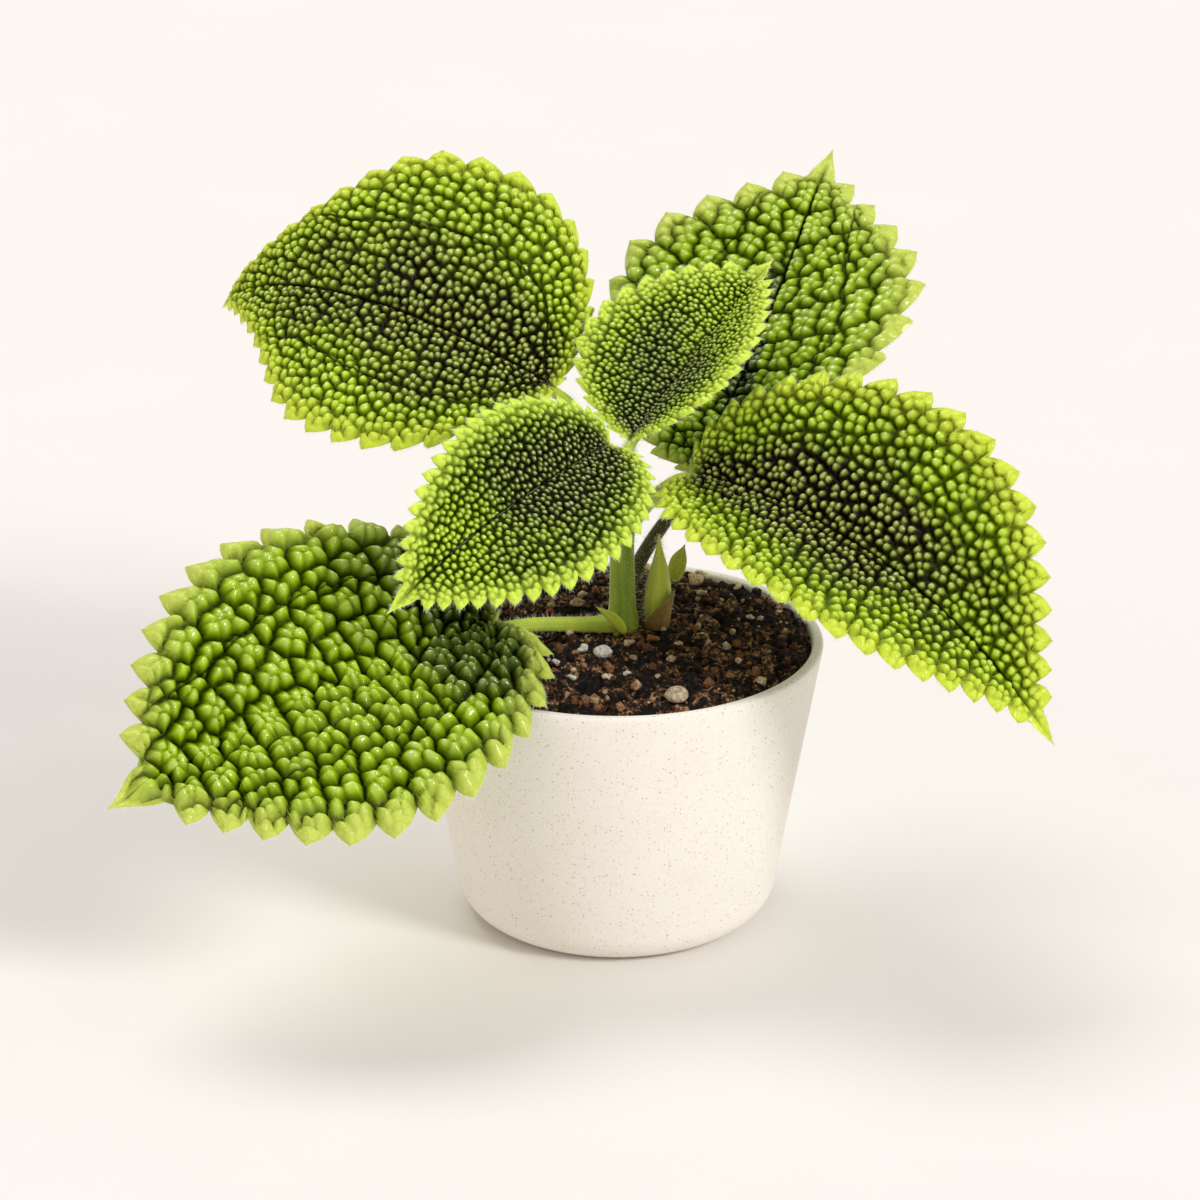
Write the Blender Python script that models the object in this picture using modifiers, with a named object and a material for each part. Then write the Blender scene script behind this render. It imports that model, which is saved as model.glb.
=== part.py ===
# A small plant with six quilted leaves on one fleshy stem, growing in a turned pot.
# Metres, +Z up. The origin is the centre of the pot's flat base.
from math import atan, cos, exp, pi, radians, sin, tan

import bmesh
import bpy
import numpy as np
from mathutils import Matrix, Vector

gap = 0.0003                      # clearance between neighbouring solids

# Pot
pot_height = 0.056
pot_rim_radius = 0.040
pot_base_radius = 0.0298          # where the wall's line would meet the ground
pot_wall = 0.0021
pot_floor = 0.004
pot_corner_radius = 0.0075        # outer fillet between wall and base
pot_rim_round = 0.0008
pot_sides = 64

# Soil
soil_edge_height = 0.0550         # where the soil meets the wall
soil_mound = 0.0030               # how much higher the middle is
soil_sides = 48

# Stem
stem_foot = Vector((0.0011, -0.0038, 0.0535))
stem_top = Vector((0.0008, 0.0053, 0.0905))
stem_foot_radius = 0.0027
stem_top_radius = 0.0021
stem_swelling = 0.0004            # extra radius at each node
swelling_reach = 0.0025           # half the length of a swelling
socket_radius = 0.0038
socket_depth = 0.0052

# Heights on the stem at which each pair of leaves starts
low_node = 0.0600
middle_node = 0.0790
top_node = 0.0890

leaf_thickness = 0.0009
leaf_columns = 4                  # from the midrib to the margin

# Each leaf: where the blade meets its petiole, which way the midrib sets off (degrees),
# its flat outline, and how the blade folds along the midrib, cups across it, arches and droops
# along it, bends sideways and twists.
leaves = {
    "leaf_back_left": dict(
        base=(-0.0121, 0.0193, 0.0997), heading=155, pitch=22, roll=-28,
        length=0.0830, left=0.0335, right=0.0385, widest=0.36,
        lobe=0.04, tip_width=1.00, tip_reach=0.65,
        fold=11, cup=-13, arch=-16, droop=-53, bend=8, twist=-18, teeth=19, tooth=0.0016),
    "leaf_back_right": dict(
        base=(0.0150, 0.0162, 0.0836), heading=55, pitch=34, roll=-10,
        length=0.0795, left=0.0345, right=0.0325, widest=0.49,
        lobe=0.03, tip_width=0.49, tip_reach=0.40,
        fold=13, cup=-7, arch=18, droop=-18, bend=12, twist=27, teeth=11, tooth=0.0026),
    "leaf_top_back": dict(
        base=(0.0024, 0.0066, 0.0938), heading=50, pitch=31, roll=0,
        length=0.0490, left=0.0225, right=0.0180, widest=0.37,
        lobe=0.03, tip_width=0.59, tip_reach=0.20,
        fold=25, cup=-8, arch=4, droop=-1, bend=-5, twist=5, teeth=15, tooth=0.0011),
    "leaf_top_front": dict(
        base=(-0.0017, 0.0024, 0.0944), heading=229, pitch=-6, roll=-33,
        length=0.0600, left=0.0215, right=0.0185, widest=0.37,
        lobe=0.12, tip_width=0.55, tip_reach=0.23,
        fold=14, cup=-7, arch=-19, droop=-22, bend=4, twist=-18, teeth=21, tooth=0.0013),
    "leaf_right": dict(
        base=(0.0145, 0.0065, 0.0869), heading=-38, pitch=1, roll=27,
        length=0.0935, left=0.0325, right=0.0275, widest=0.41,
        lobe=0.09, tip_width=0.63, tip_reach=0.39,
        fold=17, cup=15, arch=-34, droop=-19, bend=-22, twist=-4, teeth=20, tooth=0.0016),
    "leaf_front_left": dict(
        base=(-0.0233, -0.0091, 0.0617), heading=212, pitch=-5, roll=-21,
        length=0.0870, left=0.0395, right=0.0366, widest=0.41,
        lobe=0.12, tip_width=0.73, tip_reach=0.25,
        fold=23, cup=-23, arch=-16, droop=15, bend=9, twist=-18, teeth=15, tooth=0.0028),
}

# Each petiole: the leaf that it carries, the height where it leaves the stem, the direction it
# leaves in (degrees: compass, then rise), and its radius at the stem and at the blade.
petioles = {
    "petiole_back_left": dict(
        leaf="leaf_back_left", node=middle_node, heading=135, rise=55, foot=0.0015, end=0.0011),
    "petiole_back_right": dict(
        leaf="leaf_back_right", node=low_node + 0.001, heading=85, rise=58, foot=0.0015, end=0.0012),
    "petiole_top_back": dict(
        leaf="leaf_top_back", node=top_node, heading=60, rise=40, foot=0.0012, end=0.0009),
    "petiole_top_front": dict(
        leaf="leaf_top_front", node=top_node, heading=240, rise=40, foot=0.0012, end=0.0009),
    "petiole_right": dict(
        leaf="leaf_right", node=middle_node, heading=5, rise=40, foot=0.0015, end=0.0011),
    "petiole_front_left": dict(
        leaf="leaf_front_left", node=low_node, heading=200, rise=2, foot=0.0016, end=0.0013),
}

# Young growth beside the stem
shoot_foot = Vector((0.0072, -0.0002, 0.0586))
shoot_tip = Vector((0.0080, 0.0035, 0.0763))
shoot_radius = 0.0027
bract_height = 0.0062
bract_thickness = 0.0005
scales = {
    "shoot_leaflet": dict(
        base=(0.0110, 0.0047, 0.0657), heading=5, pitch=76, roll=65,
        length=0.0078, left=0.0020, right=0.0020, widest=0.45,
        lobe=0.02, tip_width=0.5, tip_reach=0.4,
        fold=15, cup=20, arch=-8, droop=0, bend=0, twist=0, teeth=4, tooth=0.0),
    "stipule_low": dict(
        base=(0.0015, -0.0066, 0.0594), heading=191, pitch=52, roll=60,
        length=0.0088, left=0.0015, right=0.0015, widest=0.35,
        lobe=0.02, tip_width=0.5, tip_reach=0.4,
        fold=15, cup=25, arch=-10, droop=-10, bend=0, twist=0, teeth=4, tooth=0.0),
    "stipule_top": dict(
        base=(-0.0028, 0.0066, 0.0929), heading=150, pitch=50, roll=0,
        length=0.0050, left=0.0014, right=0.0014, widest=0.35,
        lobe=0.02, tip_width=0.5, tip_reach=0.4,
        fold=15, cup=20, arch=-10, droop=0, bend=0, twist=0, teeth=4, tooth=0.0),
}
scale_thickness = 0.0005

# Grit lying on the soil: centre across and back from the origin, and radius
grit = {
    "pebble": (0.0110, -0.0318, 0.0023),
    "perlite_1": (-0.0028, -0.0150, 0.0019),
    "perlite_2": (-0.0116, -0.0175, 0.0009),
    "perlite_3": (-0.0087, -0.0236, 0.0010),
    "perlite_4": (0.0018, -0.0221, 0.0009),
    "perlite_5": (-0.0066, -0.0120, 0.0012),
    "perlite_6": (0.0156, 0.0262, 0.0016),
    "perlite_7": (0.0258, 0.0071, 0.0009),
    "perlite_8": (0.0238, 0.0242, 0.0010),
    "perlite_9": (-0.0076, 0.0105, 0.0016),
    "perlite_10": (0.0023, -0.0097, 0.0012),
    "perlite_11": (0.0102, -0.0162, 0.0010),
    "perlite_12": (0.0168, 0.0308, 0.0013),
    "perlite_13": (0.0219, -0.0019, 0.0010),
    "perlite_14": (0.0069, -0.0080, 0.0013),
    "perlite_15": (-0.0129, 0.0064, 0.0012),
}
grit_sink = 0.62                  # height over width of a grain

# Colour, roughness
finishes = {
    "pot_cream": ((0.78, 0.72, 0.65), 0.75),
    "soil_brown": ((0.035, 0.020, 0.014), 0.95),
    "leaf_green": ((0.13, 0.30, 0.02), 0.45),
    "stem_green": ((0.36, 0.45, 0.08), 0.5),
    "bract_brown": ((0.20, 0.16, 0.05), 0.6),
    "grit_pale": ((0.60, 0.50, 0.40), 0.85),
}


def clear_scene():
    for item in list(bpy.data.objects):
        bpy.data.objects.remove(item, do_unlink=True)


def new_collection(name, hidden=False):
    group = bpy.data.collections.new(name)
    bpy.context.scene.collection.children.link(group)
    group.hide_render = hidden
    return group


def new_material(name, finish):
    colour, roughness = finishes[finish]
    material = bpy.data.materials.new(name)
    material.use_nodes = True
    shader = material.node_tree.nodes["Principled BSDF"]
    shader.inputs["Base Color"].default_value = (*colour, 1.0)
    shader.inputs["Roughness"].default_value = roughness
    shader.inputs["Metallic"].default_value = 0.0
    return material


def new_object(name, data, finish, group):
    item = bpy.data.objects.new(name, data)
    group.objects.link(item)
    item.data.materials.append(new_material(name + "_" + finish, finish))
    return item


def turned(name, outline, sides, finish, group):
    """A solid of revolution from an outline of (radius, height) points that starts and ends on
    the axis and runs down its outer side."""
    mesh = bpy.data.meshes.new(name)
    points = [(radius, 0.0, height) for radius, height in outline]
    edges = [(i, i + 1) for i in range(len(points) - 1)]
    mesh.from_pydata(points, edges, [])
    item = new_object(name, mesh, finish, group)
    screw = item.modifiers.new("turn", "SCREW")
    screw.axis = "Z"
    screw.angle = 2 * pi
    screw.steps = sides
    screw.render_steps = sides
    screw.use_merge_vertices = True
    screw.merge_threshold = 0.00001
    screw.use_smooth_shade = True
    return item


def arc(centre, radius, start, end, count):
    """Points of a circle's arc, from one angle to another."""
    angles = [start + (end - start) * i / (count - 1) for i in range(count)]
    return [(centre[0] + radius * cos(a), centre[1] + radius * sin(a)) for a in angles]


wall_slope = atan((pot_rim_radius - pot_base_radius) / pot_height)


def wall_radius(height, inset=0.0):
    """Radius of the pot's straight outer wall at a height, less an inset square to the wall."""
    return pot_base_radius + height * tan(wall_slope) - inset / cos(wall_slope)


def corner(radius, floor, inset):
    """Fillet of a radius between the wall, set in by an inset, and a floor: from the wall to the floor."""
    height = floor + radius
    centre = (wall_radius(height, inset + radius), height)
    return arc(centre, radius, -wall_slope, -pi / 2, 7)


def make_pot(group):
    top = pot_height - pot_rim_round
    inner_lip = (wall_radius(top, pot_wall - pot_rim_round), top)
    outer_lip = (wall_radius(top, pot_rim_round), top)
    inner_corner = corner(pot_corner_radius - pot_wall, pot_floor, pot_wall)
    outline = [(0.0, pot_floor)]
    outline += inner_corner[::-1]
    outline += arc(inner_lip, pot_rim_round, pi, pi / 2, 4)
    outline += arc(outer_lip, pot_rim_round, pi / 2, 0, 4)
    outline += corner(pot_corner_radius, 0.0, 0.0)
    outline += [(0.0, 0.0)]
    return turned("pot", outline, pot_sides, "pot_cream", group)


def soil_height(radius):
    """The soil's top: a low mound."""
    reach = radius / wall_radius(soil_edge_height, pot_wall + gap)
    return soil_edge_height + soil_mound * (1 - reach ** 2)


def make_soil(group, cutters):
    edge = wall_radius(soil_edge_height, pot_wall + gap)
    rings = 8
    outline = [(edge * i / rings, soil_height(edge * i / rings)) for i in range(rings + 1)]
    outline += corner(pot_corner_radius - pot_wall - gap, pot_floor + gap, pot_wall + gap)
    outline += [(0.0, pot_floor + gap)]
    soil = turned("soil", outline, soil_sides, "soil_brown", group)

    bpy.ops.mesh.primitive_cylinder_add(vertices=24, radius=socket_radius, depth=2 * socket_depth)
    socket = bpy.context.object
    socket.name = "stem_socket"
    buried = stem_point(0.5 * (stem_foot.z + soil_height(0)))
    socket.location = (buried.x, buried.y, soil_height(0))
    socket.hide_render = True
    socket.display_type = "WIRE"
    for owner in list(socket.users_collection):
        owner.objects.unlink(socket)
    cutters.objects.link(socket)
    cut = soil.modifiers.new("stem socket", "BOOLEAN")
    cut.operation = "DIFFERENCE"
    cut.object = socket
    return soil


def tube(name, points, radii, finish, group, resolution=2):
    """A round stalk through points, with a radius at each."""
    curve = bpy.data.curves.new(name, "CURVE")
    curve.dimensions = "3D"
    curve.bevel_depth = 1.0
    curve.bevel_resolution = resolution
    curve.use_fill_caps = True
    spline = curve.splines.new("POLY")
    spline.points.add(len(points) - 1)
    for point, place, radius in zip(spline.points, points, radii):
        point.co = (*place, 1.0)
        point.radius = radius
    return new_object(name, curve, finish, group)


def stem_point(height):
    share = (height - stem_foot.z) / (stem_top.z - stem_foot.z)
    return stem_foot.lerp(stem_top, share)


def stem_radius(height):
    """Taper from foot to top, with a swelling at each node."""
    share = (height - stem_foot.z) / (stem_top.z - stem_foot.z)
    taper = stem_foot_radius + (stem_top_radius - stem_foot_radius) * share
    bumps = sum(exp(-((height - node) / swelling_reach) ** 2) for node in (low_node, middle_node))
    return taper + stem_swelling * bumps


def make_stem(group):
    count = 24
    heights = [stem_foot.z + (stem_top.z - stem_foot.z) * i / (count - 1) for i in range(count)]
    points = [stem_point(height) for height in heights]
    radii = [stem_radius(height) for height in heights]
    return tube("stem", points, radii, "stem_green", group, 4)


def cubic(a, b, c, d, t):
    """Cubic Bezier through a and d with handles b and c, at each of the parameters t."""
    t = t[:, None]
    u = 1 - t
    a, b, c, d = (np.array(p, dtype=float) for p in (a, b, c, d))
    return u ** 3 * a + 3 * u * u * t * b + 3 * u * t * t * c + t ** 3 * d


def half_outline(leaf, half_width, t):
    """One side of the flat blade, base to tip: a round basal lobe out to the widest point, then
    a shoulder in to the tip."""
    length = leaf["length"]
    widest = leaf["widest"] * length
    lobe = leaf["lobe"] * length
    rest = length - widest
    lobe_side = cubic(
        (0, 0), (-1.35 * lobe, 0.30 * half_width),
        (widest - 0.62 * (widest + lobe), half_width), (widest, half_width), np.clip(2 * t, 0, 1))
    tip_side = cubic(
        (widest, half_width), (widest + 0.5 * rest, half_width),
        (length - leaf["tip_reach"] * rest, leaf["tip_width"] * 0.55 * half_width), (length, 0),
        np.clip(2 * t - 1, 0, 1))
    return np.where((t < 0.5)[:, None], lobe_side, tip_side)


def curl(leaf, flat):
    """Bends the flat blade into its leaf's own frame: fold and cup across, then twist, then arch
    and sideways bend along the midrib."""
    along, across = flat[..., 0], flat[..., 1]
    length = leaf["length"]
    fold, cup, arch, droop, bend, twist = (
        radians(leaf[key]) for key in ("fold", "cup", "arch", "droop", "bend", "twist"))
    curvature = cup / (0.5 * (leaf["left"] + leaf["right"]))
    reach = np.abs(across)
    slope = fold + curvature * reach
    side = np.sign(across) * (np.sin(slope) - sin(fold)) / curvature
    rise = (cos(fold) - np.cos(slope)) / curvature
    turn = twist * along / length
    side, rise = side * np.cos(turn) - rise * np.sin(turn), side * np.sin(turn) + rise * np.cos(turn)

    share = np.linspace(0, 1, 60)
    pitch = arch * share + droop * share ** 3
    heading = bend * share
    step = length / (len(share) - 1)
    direction = np.stack((
        np.cos(pitch) * np.cos(heading), np.cos(pitch) * np.sin(heading), np.sin(pitch)), axis=-1)
    midrib = np.zeros((len(share), 3))
    midrib[1:] = np.cumsum(0.5 * step * (direction[1:] + direction[:-1]), axis=0)

    here = np.clip(along / length, 0, 1)
    point = np.stack([np.interp(here, share, midrib[:, i]) for i in range(3)], axis=-1)
    point[..., 0] += np.minimum(along, 0)
    pitch = arch * here + droop * here ** 3
    heading = bend * here
    sideways = np.stack((-np.sin(heading), np.cos(heading), 0 * heading), axis=-1)
    upward = np.stack((
        -np.sin(pitch) * np.cos(heading), -np.sin(pitch) * np.sin(heading), np.cos(pitch)), axis=-1)
    return point + side[..., None] * sideways + rise[..., None] * upward


def leaf_frame(leaf):
    """Turns the leaf's own frame, midrib along X and upper face to +Z, into the plant's."""
    turn = Matrix.Rotation(radians(leaf["heading"]), 4, "Z")
    turn = turn @ Matrix.Rotation(-radians(leaf["pitch"]), 4, "Y")
    turn = turn @ Matrix.Rotation(radians(leaf["roll"]), 4, "X")
    return Matrix.Translation(leaf["base"]) @ turn


def make_leaf(name, leaf, thickness, finish, group):
    """A toothed blade: rows run from the midrib out to the margin, tooth tips on odd rows and
    notches on even ones, and the surface is then given its thickness."""
    rows = 2 * leaf["teeth"]
    t = np.linspace(0, 1, rows + 1)
    start = np.stack((leaf["length"] * t ** 1.5, 0 * t), axis=-1)
    is_notch = (np.arange(rows + 1) % 2 == 0)
    halves = []
    for side in (1, -1):
        half_width = leaf["left"] if side > 0 else leaf["right"]
        end = half_outline(leaf, half_width, t)
        span = np.linalg.norm(end - start, axis=1)
        depth = np.where(is_notch, leaf["tooth"], 0.0)
        keep = 1 - np.minimum(depth / np.maximum(span, 1e-6), 0.4)
        share = np.linspace(0, 1, leaf_columns + 1)
        flat = start[:, None] + (end - start)[:, None] * (share[:, None] * keep[:, None, None])
        flat[..., 1] *= side
        halves.append(curl(leaf, flat))

    mesh = bpy.data.meshes.new(name)
    blade = bmesh.new()
    for side, half in zip((1, -1), halves):
        grid = [[blade.verts.new(place) for place in row] for row in half]
        for lower, upper in zip(grid[:-1], grid[1:]):
            for i in range(leaf_columns):
                corners = (lower[i], upper[i], upper[i + 1], lower[i + 1])
                blade.faces.new(corners if side < 0 else corners[::-1])
    bmesh.ops.remove_doubles(blade, verts=blade.verts, dist=0.00001)
    bmesh.ops.triangulate(blade, faces=blade.faces)
    blade.to_mesh(mesh)
    blade.free()
    mesh.shade_smooth()
    item = new_object(name, mesh, finish, group)
    item.matrix_world = leaf_frame(leaf)
    solidify = item.modifiers.new("thickness", "SOLIDIFY")
    solidify.thickness = thickness
    solidify.offset = 0.0
    solidify.use_even_offset = False
    return item


def heading_vector(heading, rise):
    a, b = radians(heading), radians(rise)
    return Vector((cos(b) * cos(a), cos(b) * sin(a), sin(b)))


def make_petiole(name, petiole, group):
    """A stalk from just outside the stem to just under the blade's base."""
    leaf = leaves[petiole["leaf"]]
    leaving = heading_vector(petiole["heading"], petiole["rise"])
    outward = heading_vector(petiole["heading"], 0)
    clear = stem_radius(petiole["node"]) + gap + petiole["foot"] * sin(radians(petiole["rise"]))
    start = stem_point(petiole["node"]) + clear * outward
    frame = leaf_frame(leaf)
    below = -(leaf_thickness / 2 + gap + petiole["end"])
    end = frame @ Vector((0.0006, 0.0, below))
    arriving = (frame.to_3x3() @ Vector((1, 0, 0))).normalized()
    handle = 0.36 * (end - start).length
    count = max(5, int((end - start).length / 0.0022))
    t = np.linspace(0, 1, count)
    points = cubic(start, start + handle * leaving, end - handle * arriving, end, t)
    radii = petiole["foot"] + (petiole["end"] - petiole["foot"]) * t
    return tube(name, [tuple(point) for point in points], radii, "stem_green", group)


def make_shoot(group):
    """A folded young leaf: a spindle that swells above its foot and ends in a point."""
    t = np.linspace(0, 1, 12)
    radii = shoot_radius * (0.55 + 0.45 * np.sin(pi * np.minimum(t / 0.9, 1))) * (1 - t ** 3) + 0.00015
    points = [shoot_foot.lerp(shoot_tip, share) for share in t]
    return tube("shoot", points, radii, "stem_green", group)


def make_bract(group):
    """A scale wrapped round the shoot's foot, highest at its middle."""
    columns = 10
    rows = 4
    reach = radians(100)
    facing = radians(-20)
    mesh = bpy.data.meshes.new("shoot_bract")
    scale = bmesh.new()
    grid = []
    for i in range(columns + 1):
        angle = reach * (2 * i / columns - 1)
        height = bract_height * (0.35 + 0.65 * cos(angle * pi / 2 / reach))
        column = []
        for j in range(rows + 1):
            share = j / rows
            swell = shoot_radius * (0.72 + 0.28 * share) + gap + bract_thickness + 0.0003
            column.append(scale.verts.new((
                swell * cos(facing + angle), swell * sin(facing + angle), height * share)))
        grid.append(column)
    for left, right in zip(grid[:-1], grid[1:]):
        for j in range(rows):
            scale.faces.new((left[j], right[j], right[j + 1], left[j + 1]))
    scale.to_mesh(mesh)
    scale.free()
    mesh.shade_smooth()
    item = new_object("shoot_bract", mesh, "bract_brown", group)
    item.location = shoot_foot
    solidify = item.modifiers.new("thickness", "SOLIDIFY")
    solidify.thickness = bract_thickness
    solidify.offset = 0.0
    return item


def make_grain(name, across, back, radius, group):
    """A squashed, uneven grain resting on the soil."""
    mesh = bpy.data.meshes.new(name)
    grain = bmesh.new()
    bmesh.ops.create_icosphere(grain, subdivisions=2, radius=radius)
    for vert in grain.verts:
        wave = sin(vert.co.x * 2900 + across * 900) + sin(vert.co.y * 2300 + back * 700)
        vert.co *= 1 + 0.06 * wave
        vert.co.z *= grit_sink
    lowest = min(vert.co.z for vert in grain.verts)
    grain.to_mesh(mesh)
    grain.free()
    mesh.shade_smooth()
    item = new_object(name, mesh, "grit_pale", group)
    nearest = max((across ** 2 + back ** 2) ** 0.5 - radius, 0)
    item.location = (across, back, soil_height(nearest) + gap - lowest)
    return item


def build():
    clear_scene()
    plant = new_collection("potted_pilea")
    cutters = new_collection("cutters", hidden=True)
    make_pot(plant)
    make_soil(plant, cutters)
    make_stem(plant)
    for name, leaf in leaves.items():
        make_leaf(name, leaf, leaf_thickness, "leaf_green", plant)
    for name, petiole in petioles.items():
        make_petiole(name, petiole, plant)
    make_shoot(plant)
    make_bract(plant)
    for name, scale in scales.items():
        make_leaf(name, scale, scale_thickness, "stem_green", plant)
    for name, (across, back, radius) in grit.items():
        make_grain(name, across, back, radius, plant)


build()
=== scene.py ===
from math import cos, pi, radians, sin, tan

import bmesh
import bpy
import numpy as np
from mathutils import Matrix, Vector


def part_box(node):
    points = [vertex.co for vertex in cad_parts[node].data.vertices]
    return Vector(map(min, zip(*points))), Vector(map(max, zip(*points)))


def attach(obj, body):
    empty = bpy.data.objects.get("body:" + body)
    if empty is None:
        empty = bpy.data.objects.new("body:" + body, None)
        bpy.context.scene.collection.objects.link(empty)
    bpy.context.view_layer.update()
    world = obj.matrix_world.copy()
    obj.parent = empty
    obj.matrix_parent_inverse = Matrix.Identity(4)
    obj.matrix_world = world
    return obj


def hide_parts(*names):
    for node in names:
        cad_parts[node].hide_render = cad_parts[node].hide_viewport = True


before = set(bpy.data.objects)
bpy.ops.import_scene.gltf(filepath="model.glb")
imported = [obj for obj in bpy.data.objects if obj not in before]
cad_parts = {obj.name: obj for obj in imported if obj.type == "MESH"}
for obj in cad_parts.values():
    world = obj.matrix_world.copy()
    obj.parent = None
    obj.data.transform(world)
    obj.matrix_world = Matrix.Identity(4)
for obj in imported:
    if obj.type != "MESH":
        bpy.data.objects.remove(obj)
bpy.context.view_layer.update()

scene = bpy.context.scene
print("frame loaded:", len(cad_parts), "nodes")


def fromDisplay(red, green, blue):
    # display colour from 0 to 255, made linear: ((c + 0.055) / 1.055) to the power 2.4
    values = []
    for level in (red, green, blue):
        share = level / 255
        values.append(share / 12.92 if share <= 0.04045 else ((share + 0.055) / 1.055) ** 2.4)
    return (values[0], values[1], values[2], 1.0)


def smooth(values, low, high):
    # 0 below low, 1 above high, and 3x^2 - 2x^3 between
    share = np.clip((values - low) / (high - low), 0, 1)
    return share * share * (3 - 2 * share)


def dome(share, power=2.3):
    # 1 - (1 - share)^power: steep where share is 0, level from where it reaches 1
    return 1 - (1 - np.clip(share, 0, 1)) ** power


def bell(distance, width):
    # exp(-(d / w)^2): 1 on a line, fading to nothing over about its width
    return np.exp(-(distance / width) ** 2)


def polar(radius, angle, height):
    # points at a radius and an angle about the upright axis
    level = np.broadcast_arrays(radius * np.cos(angle), radius * np.sin(angle), height)
    return np.stack(level, axis=-1)


def unit(vectors):
    # each vector over its length
    return vectors / np.maximum(np.linalg.norm(vectors, axis=-1, keepdims=True), 1e-12)


def patches(x, y, size, seed):
    # smooth noise from 0 to 1: random levels on a square lattice, blended between its corners
    levels = np.random.default_rng(seed).uniform(0, 1, (64, 64))
    i, j = np.floor(x / size).astype(int), np.floor(y / size).astype(int)
    u, v = smooth(x / size - i, 0, 1), smooth(y / size - j, 0, 1)
    low = levels[i % 64, j % 64] * (1 - u) + levels[(i + 1) % 64, j % 64] * u
    high = levels[i % 64, (j + 1) % 64] * (1 - u) + levels[(i + 1) % 64, (j + 1) % 64] * u
    return low * (1 - v) + high * v


def gridFaces(index):
    # two triangles for each cell of a grid of vertex numbers, less those with a repeated corner
    a, b = index[:-1, :-1].ravel(), index[1:, :-1].ravel()
    c, d = index[1:, 1:].ravel(), index[:-1, 1:].ravel()
    faces = np.concatenate([np.stack([a, b, c], 1), np.stack([a, c, d], 1)])
    whole = (faces[:, 0] != faces[:, 1]) & (faces[:, 1] != faces[:, 2]) & (faces[:, 0] != faces[:, 2])
    return faces[whole]


def closedRings(rows, sides):
    # vertex numbers of rings whose first and last gather to a point, with the first column repeated
    index = np.arange(rows * sides).reshape(rows, sides)
    index[0] = index[0, 0]
    index[-1] = index[-1, 0]
    return np.concatenate([index, index[:, :1]], axis=1)


def nodeBox(node):
    # the two corners of a solid's box
    return [np.array(corner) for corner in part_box(node)]


def makeMesh(name, points, faces, masks=None, flatShaded=False):
    # triangles put in with foreach_set, less unused vertices, with one float attribute for each mask
    used, faces = np.unique(faces, return_inverse=True)
    faces = faces.reshape(-1, 3)
    mesh = bpy.data.meshes.new(name)
    mesh.vertices.add(len(used))
    mesh.vertices.foreach_set("co", np.asarray(points, dtype=np.float32)[used].ravel())
    mesh.loops.add(faces.size)
    mesh.loops.foreach_set("vertex_index", faces.astype(np.int32).ravel())
    mesh.polygons.add(len(faces))
    mesh.polygons.foreach_set("loop_start", np.arange(0, faces.size, 3, dtype=np.int32))
    mesh.update(calc_edges=True)
    mesh.validate()
    for key, values in (masks or {}).items():
        layer = mesh.attributes.new(key, "FLOAT", "POINT")
        layer.data.foreach_set("value", np.asarray(values, dtype=np.float32).ravel()[used])
    if not flatShaded:
        mesh.shade_smooth()
        mesh.set_sharp_from_angle(angle=radians(80))
    piece = bpy.data.objects.new(name, mesh)
    scene.collection.objects.link(piece)
    return piece


def finishPiece(piece, material, slot, *nodes):
    # gives a piece its material and its body and hides the solids that it stands for; its slot is not used
    piece.data.materials.append(material)
    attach(piece, "root")
    if nodes:
        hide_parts(*nodes)
    return piece


def gridNormals(points):
    # cross product of a grid's second direction with its first
    return unit(np.cross(np.gradient(points, axis=1), np.gradient(points, axis=0)))


def addNode(tree, kind, inputs=None, **settings):
    # a node whose inputs, by name or number, are set to values or linked from other sockets
    node = tree.nodes.new(kind)
    for key, value in settings.items():
        setattr(node, key, value)
    for key, value in (inputs or {}).items():
        if isinstance(value, bpy.types.NodeSocket):
            tree.links.new(value, node.inputs[key])
        else:
            node.inputs[key].default_value = value
    return node


def mixColours(tree, share, first, second, blend="MIX"):
    # first * (1 - share) + second * share, or another blend of the two
    inputs = {0: share, 6: first, 7: second}
    return addNode(tree, "ShaderNodeMix", inputs, data_type="RGBA", blend_type=blend).outputs[2]


def scaled(tree, colour, shade):
    # a colour times a grey or another colour
    return mixColours(tree, 1.0, colour, shade, "MULTIPLY")


def feed(tree, node, sources):
    # links each source to the node's input of that name
    for name, source in sources.items():
        tree.links.new(source, node.inputs[name])


def mathNode(tree, operation, first, second=0.0):
    # one sum, product or other operation on two values
    return addNode(tree, "ShaderNodeMath", {0: first, 1: second}, operation=operation).outputs[0]


def fade(tree, value, low, high, toLow=0.0, toHigh=1.0):
    # toLow where the value is low, toHigh where it is high, smooth between
    inputs = {0: value, 1: low, 2: high, 3: toLow, 4: toHigh}
    return addNode(tree, "ShaderNodeMapRange", inputs, interpolation_type="SMOOTHSTEP").outputs[0]


def maskNode(tree, name):
    # the value of one of the mesh's own attributes
    return addNode(tree, "ShaderNodeAttribute", attribute_name=name).outputs["Fac"]


def placeNode(tree):
    # the place on the object, in metres
    return addNode(tree, "ShaderNodeTexCoord").outputs["Object"]


def noiseNode(tree, size, detail=2.0, roughness=0.5, place=None):
    # noise with features about a size in metres
    inputs = {
        "Vector": place or placeNode(tree), "Scale": 1 / size, "Detail": detail, "Roughness": roughness}
    return addNode(tree, "ShaderNodeTexNoise", inputs).outputs["Fac"]


def rampNode(tree, share, stops):
    # display colours at given shares, straight between them
    node = addNode(tree, "ShaderNodeValToRGB", {"Fac": share})
    elements = node.color_ramp.elements
    while len(elements) < len(stops):
        elements.new(0.5)
    for element, (position, colour) in zip(elements, stops):
        element.position = position
        element.color = fromDisplay(*colour)
    return node.outputs["Color"]


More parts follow.
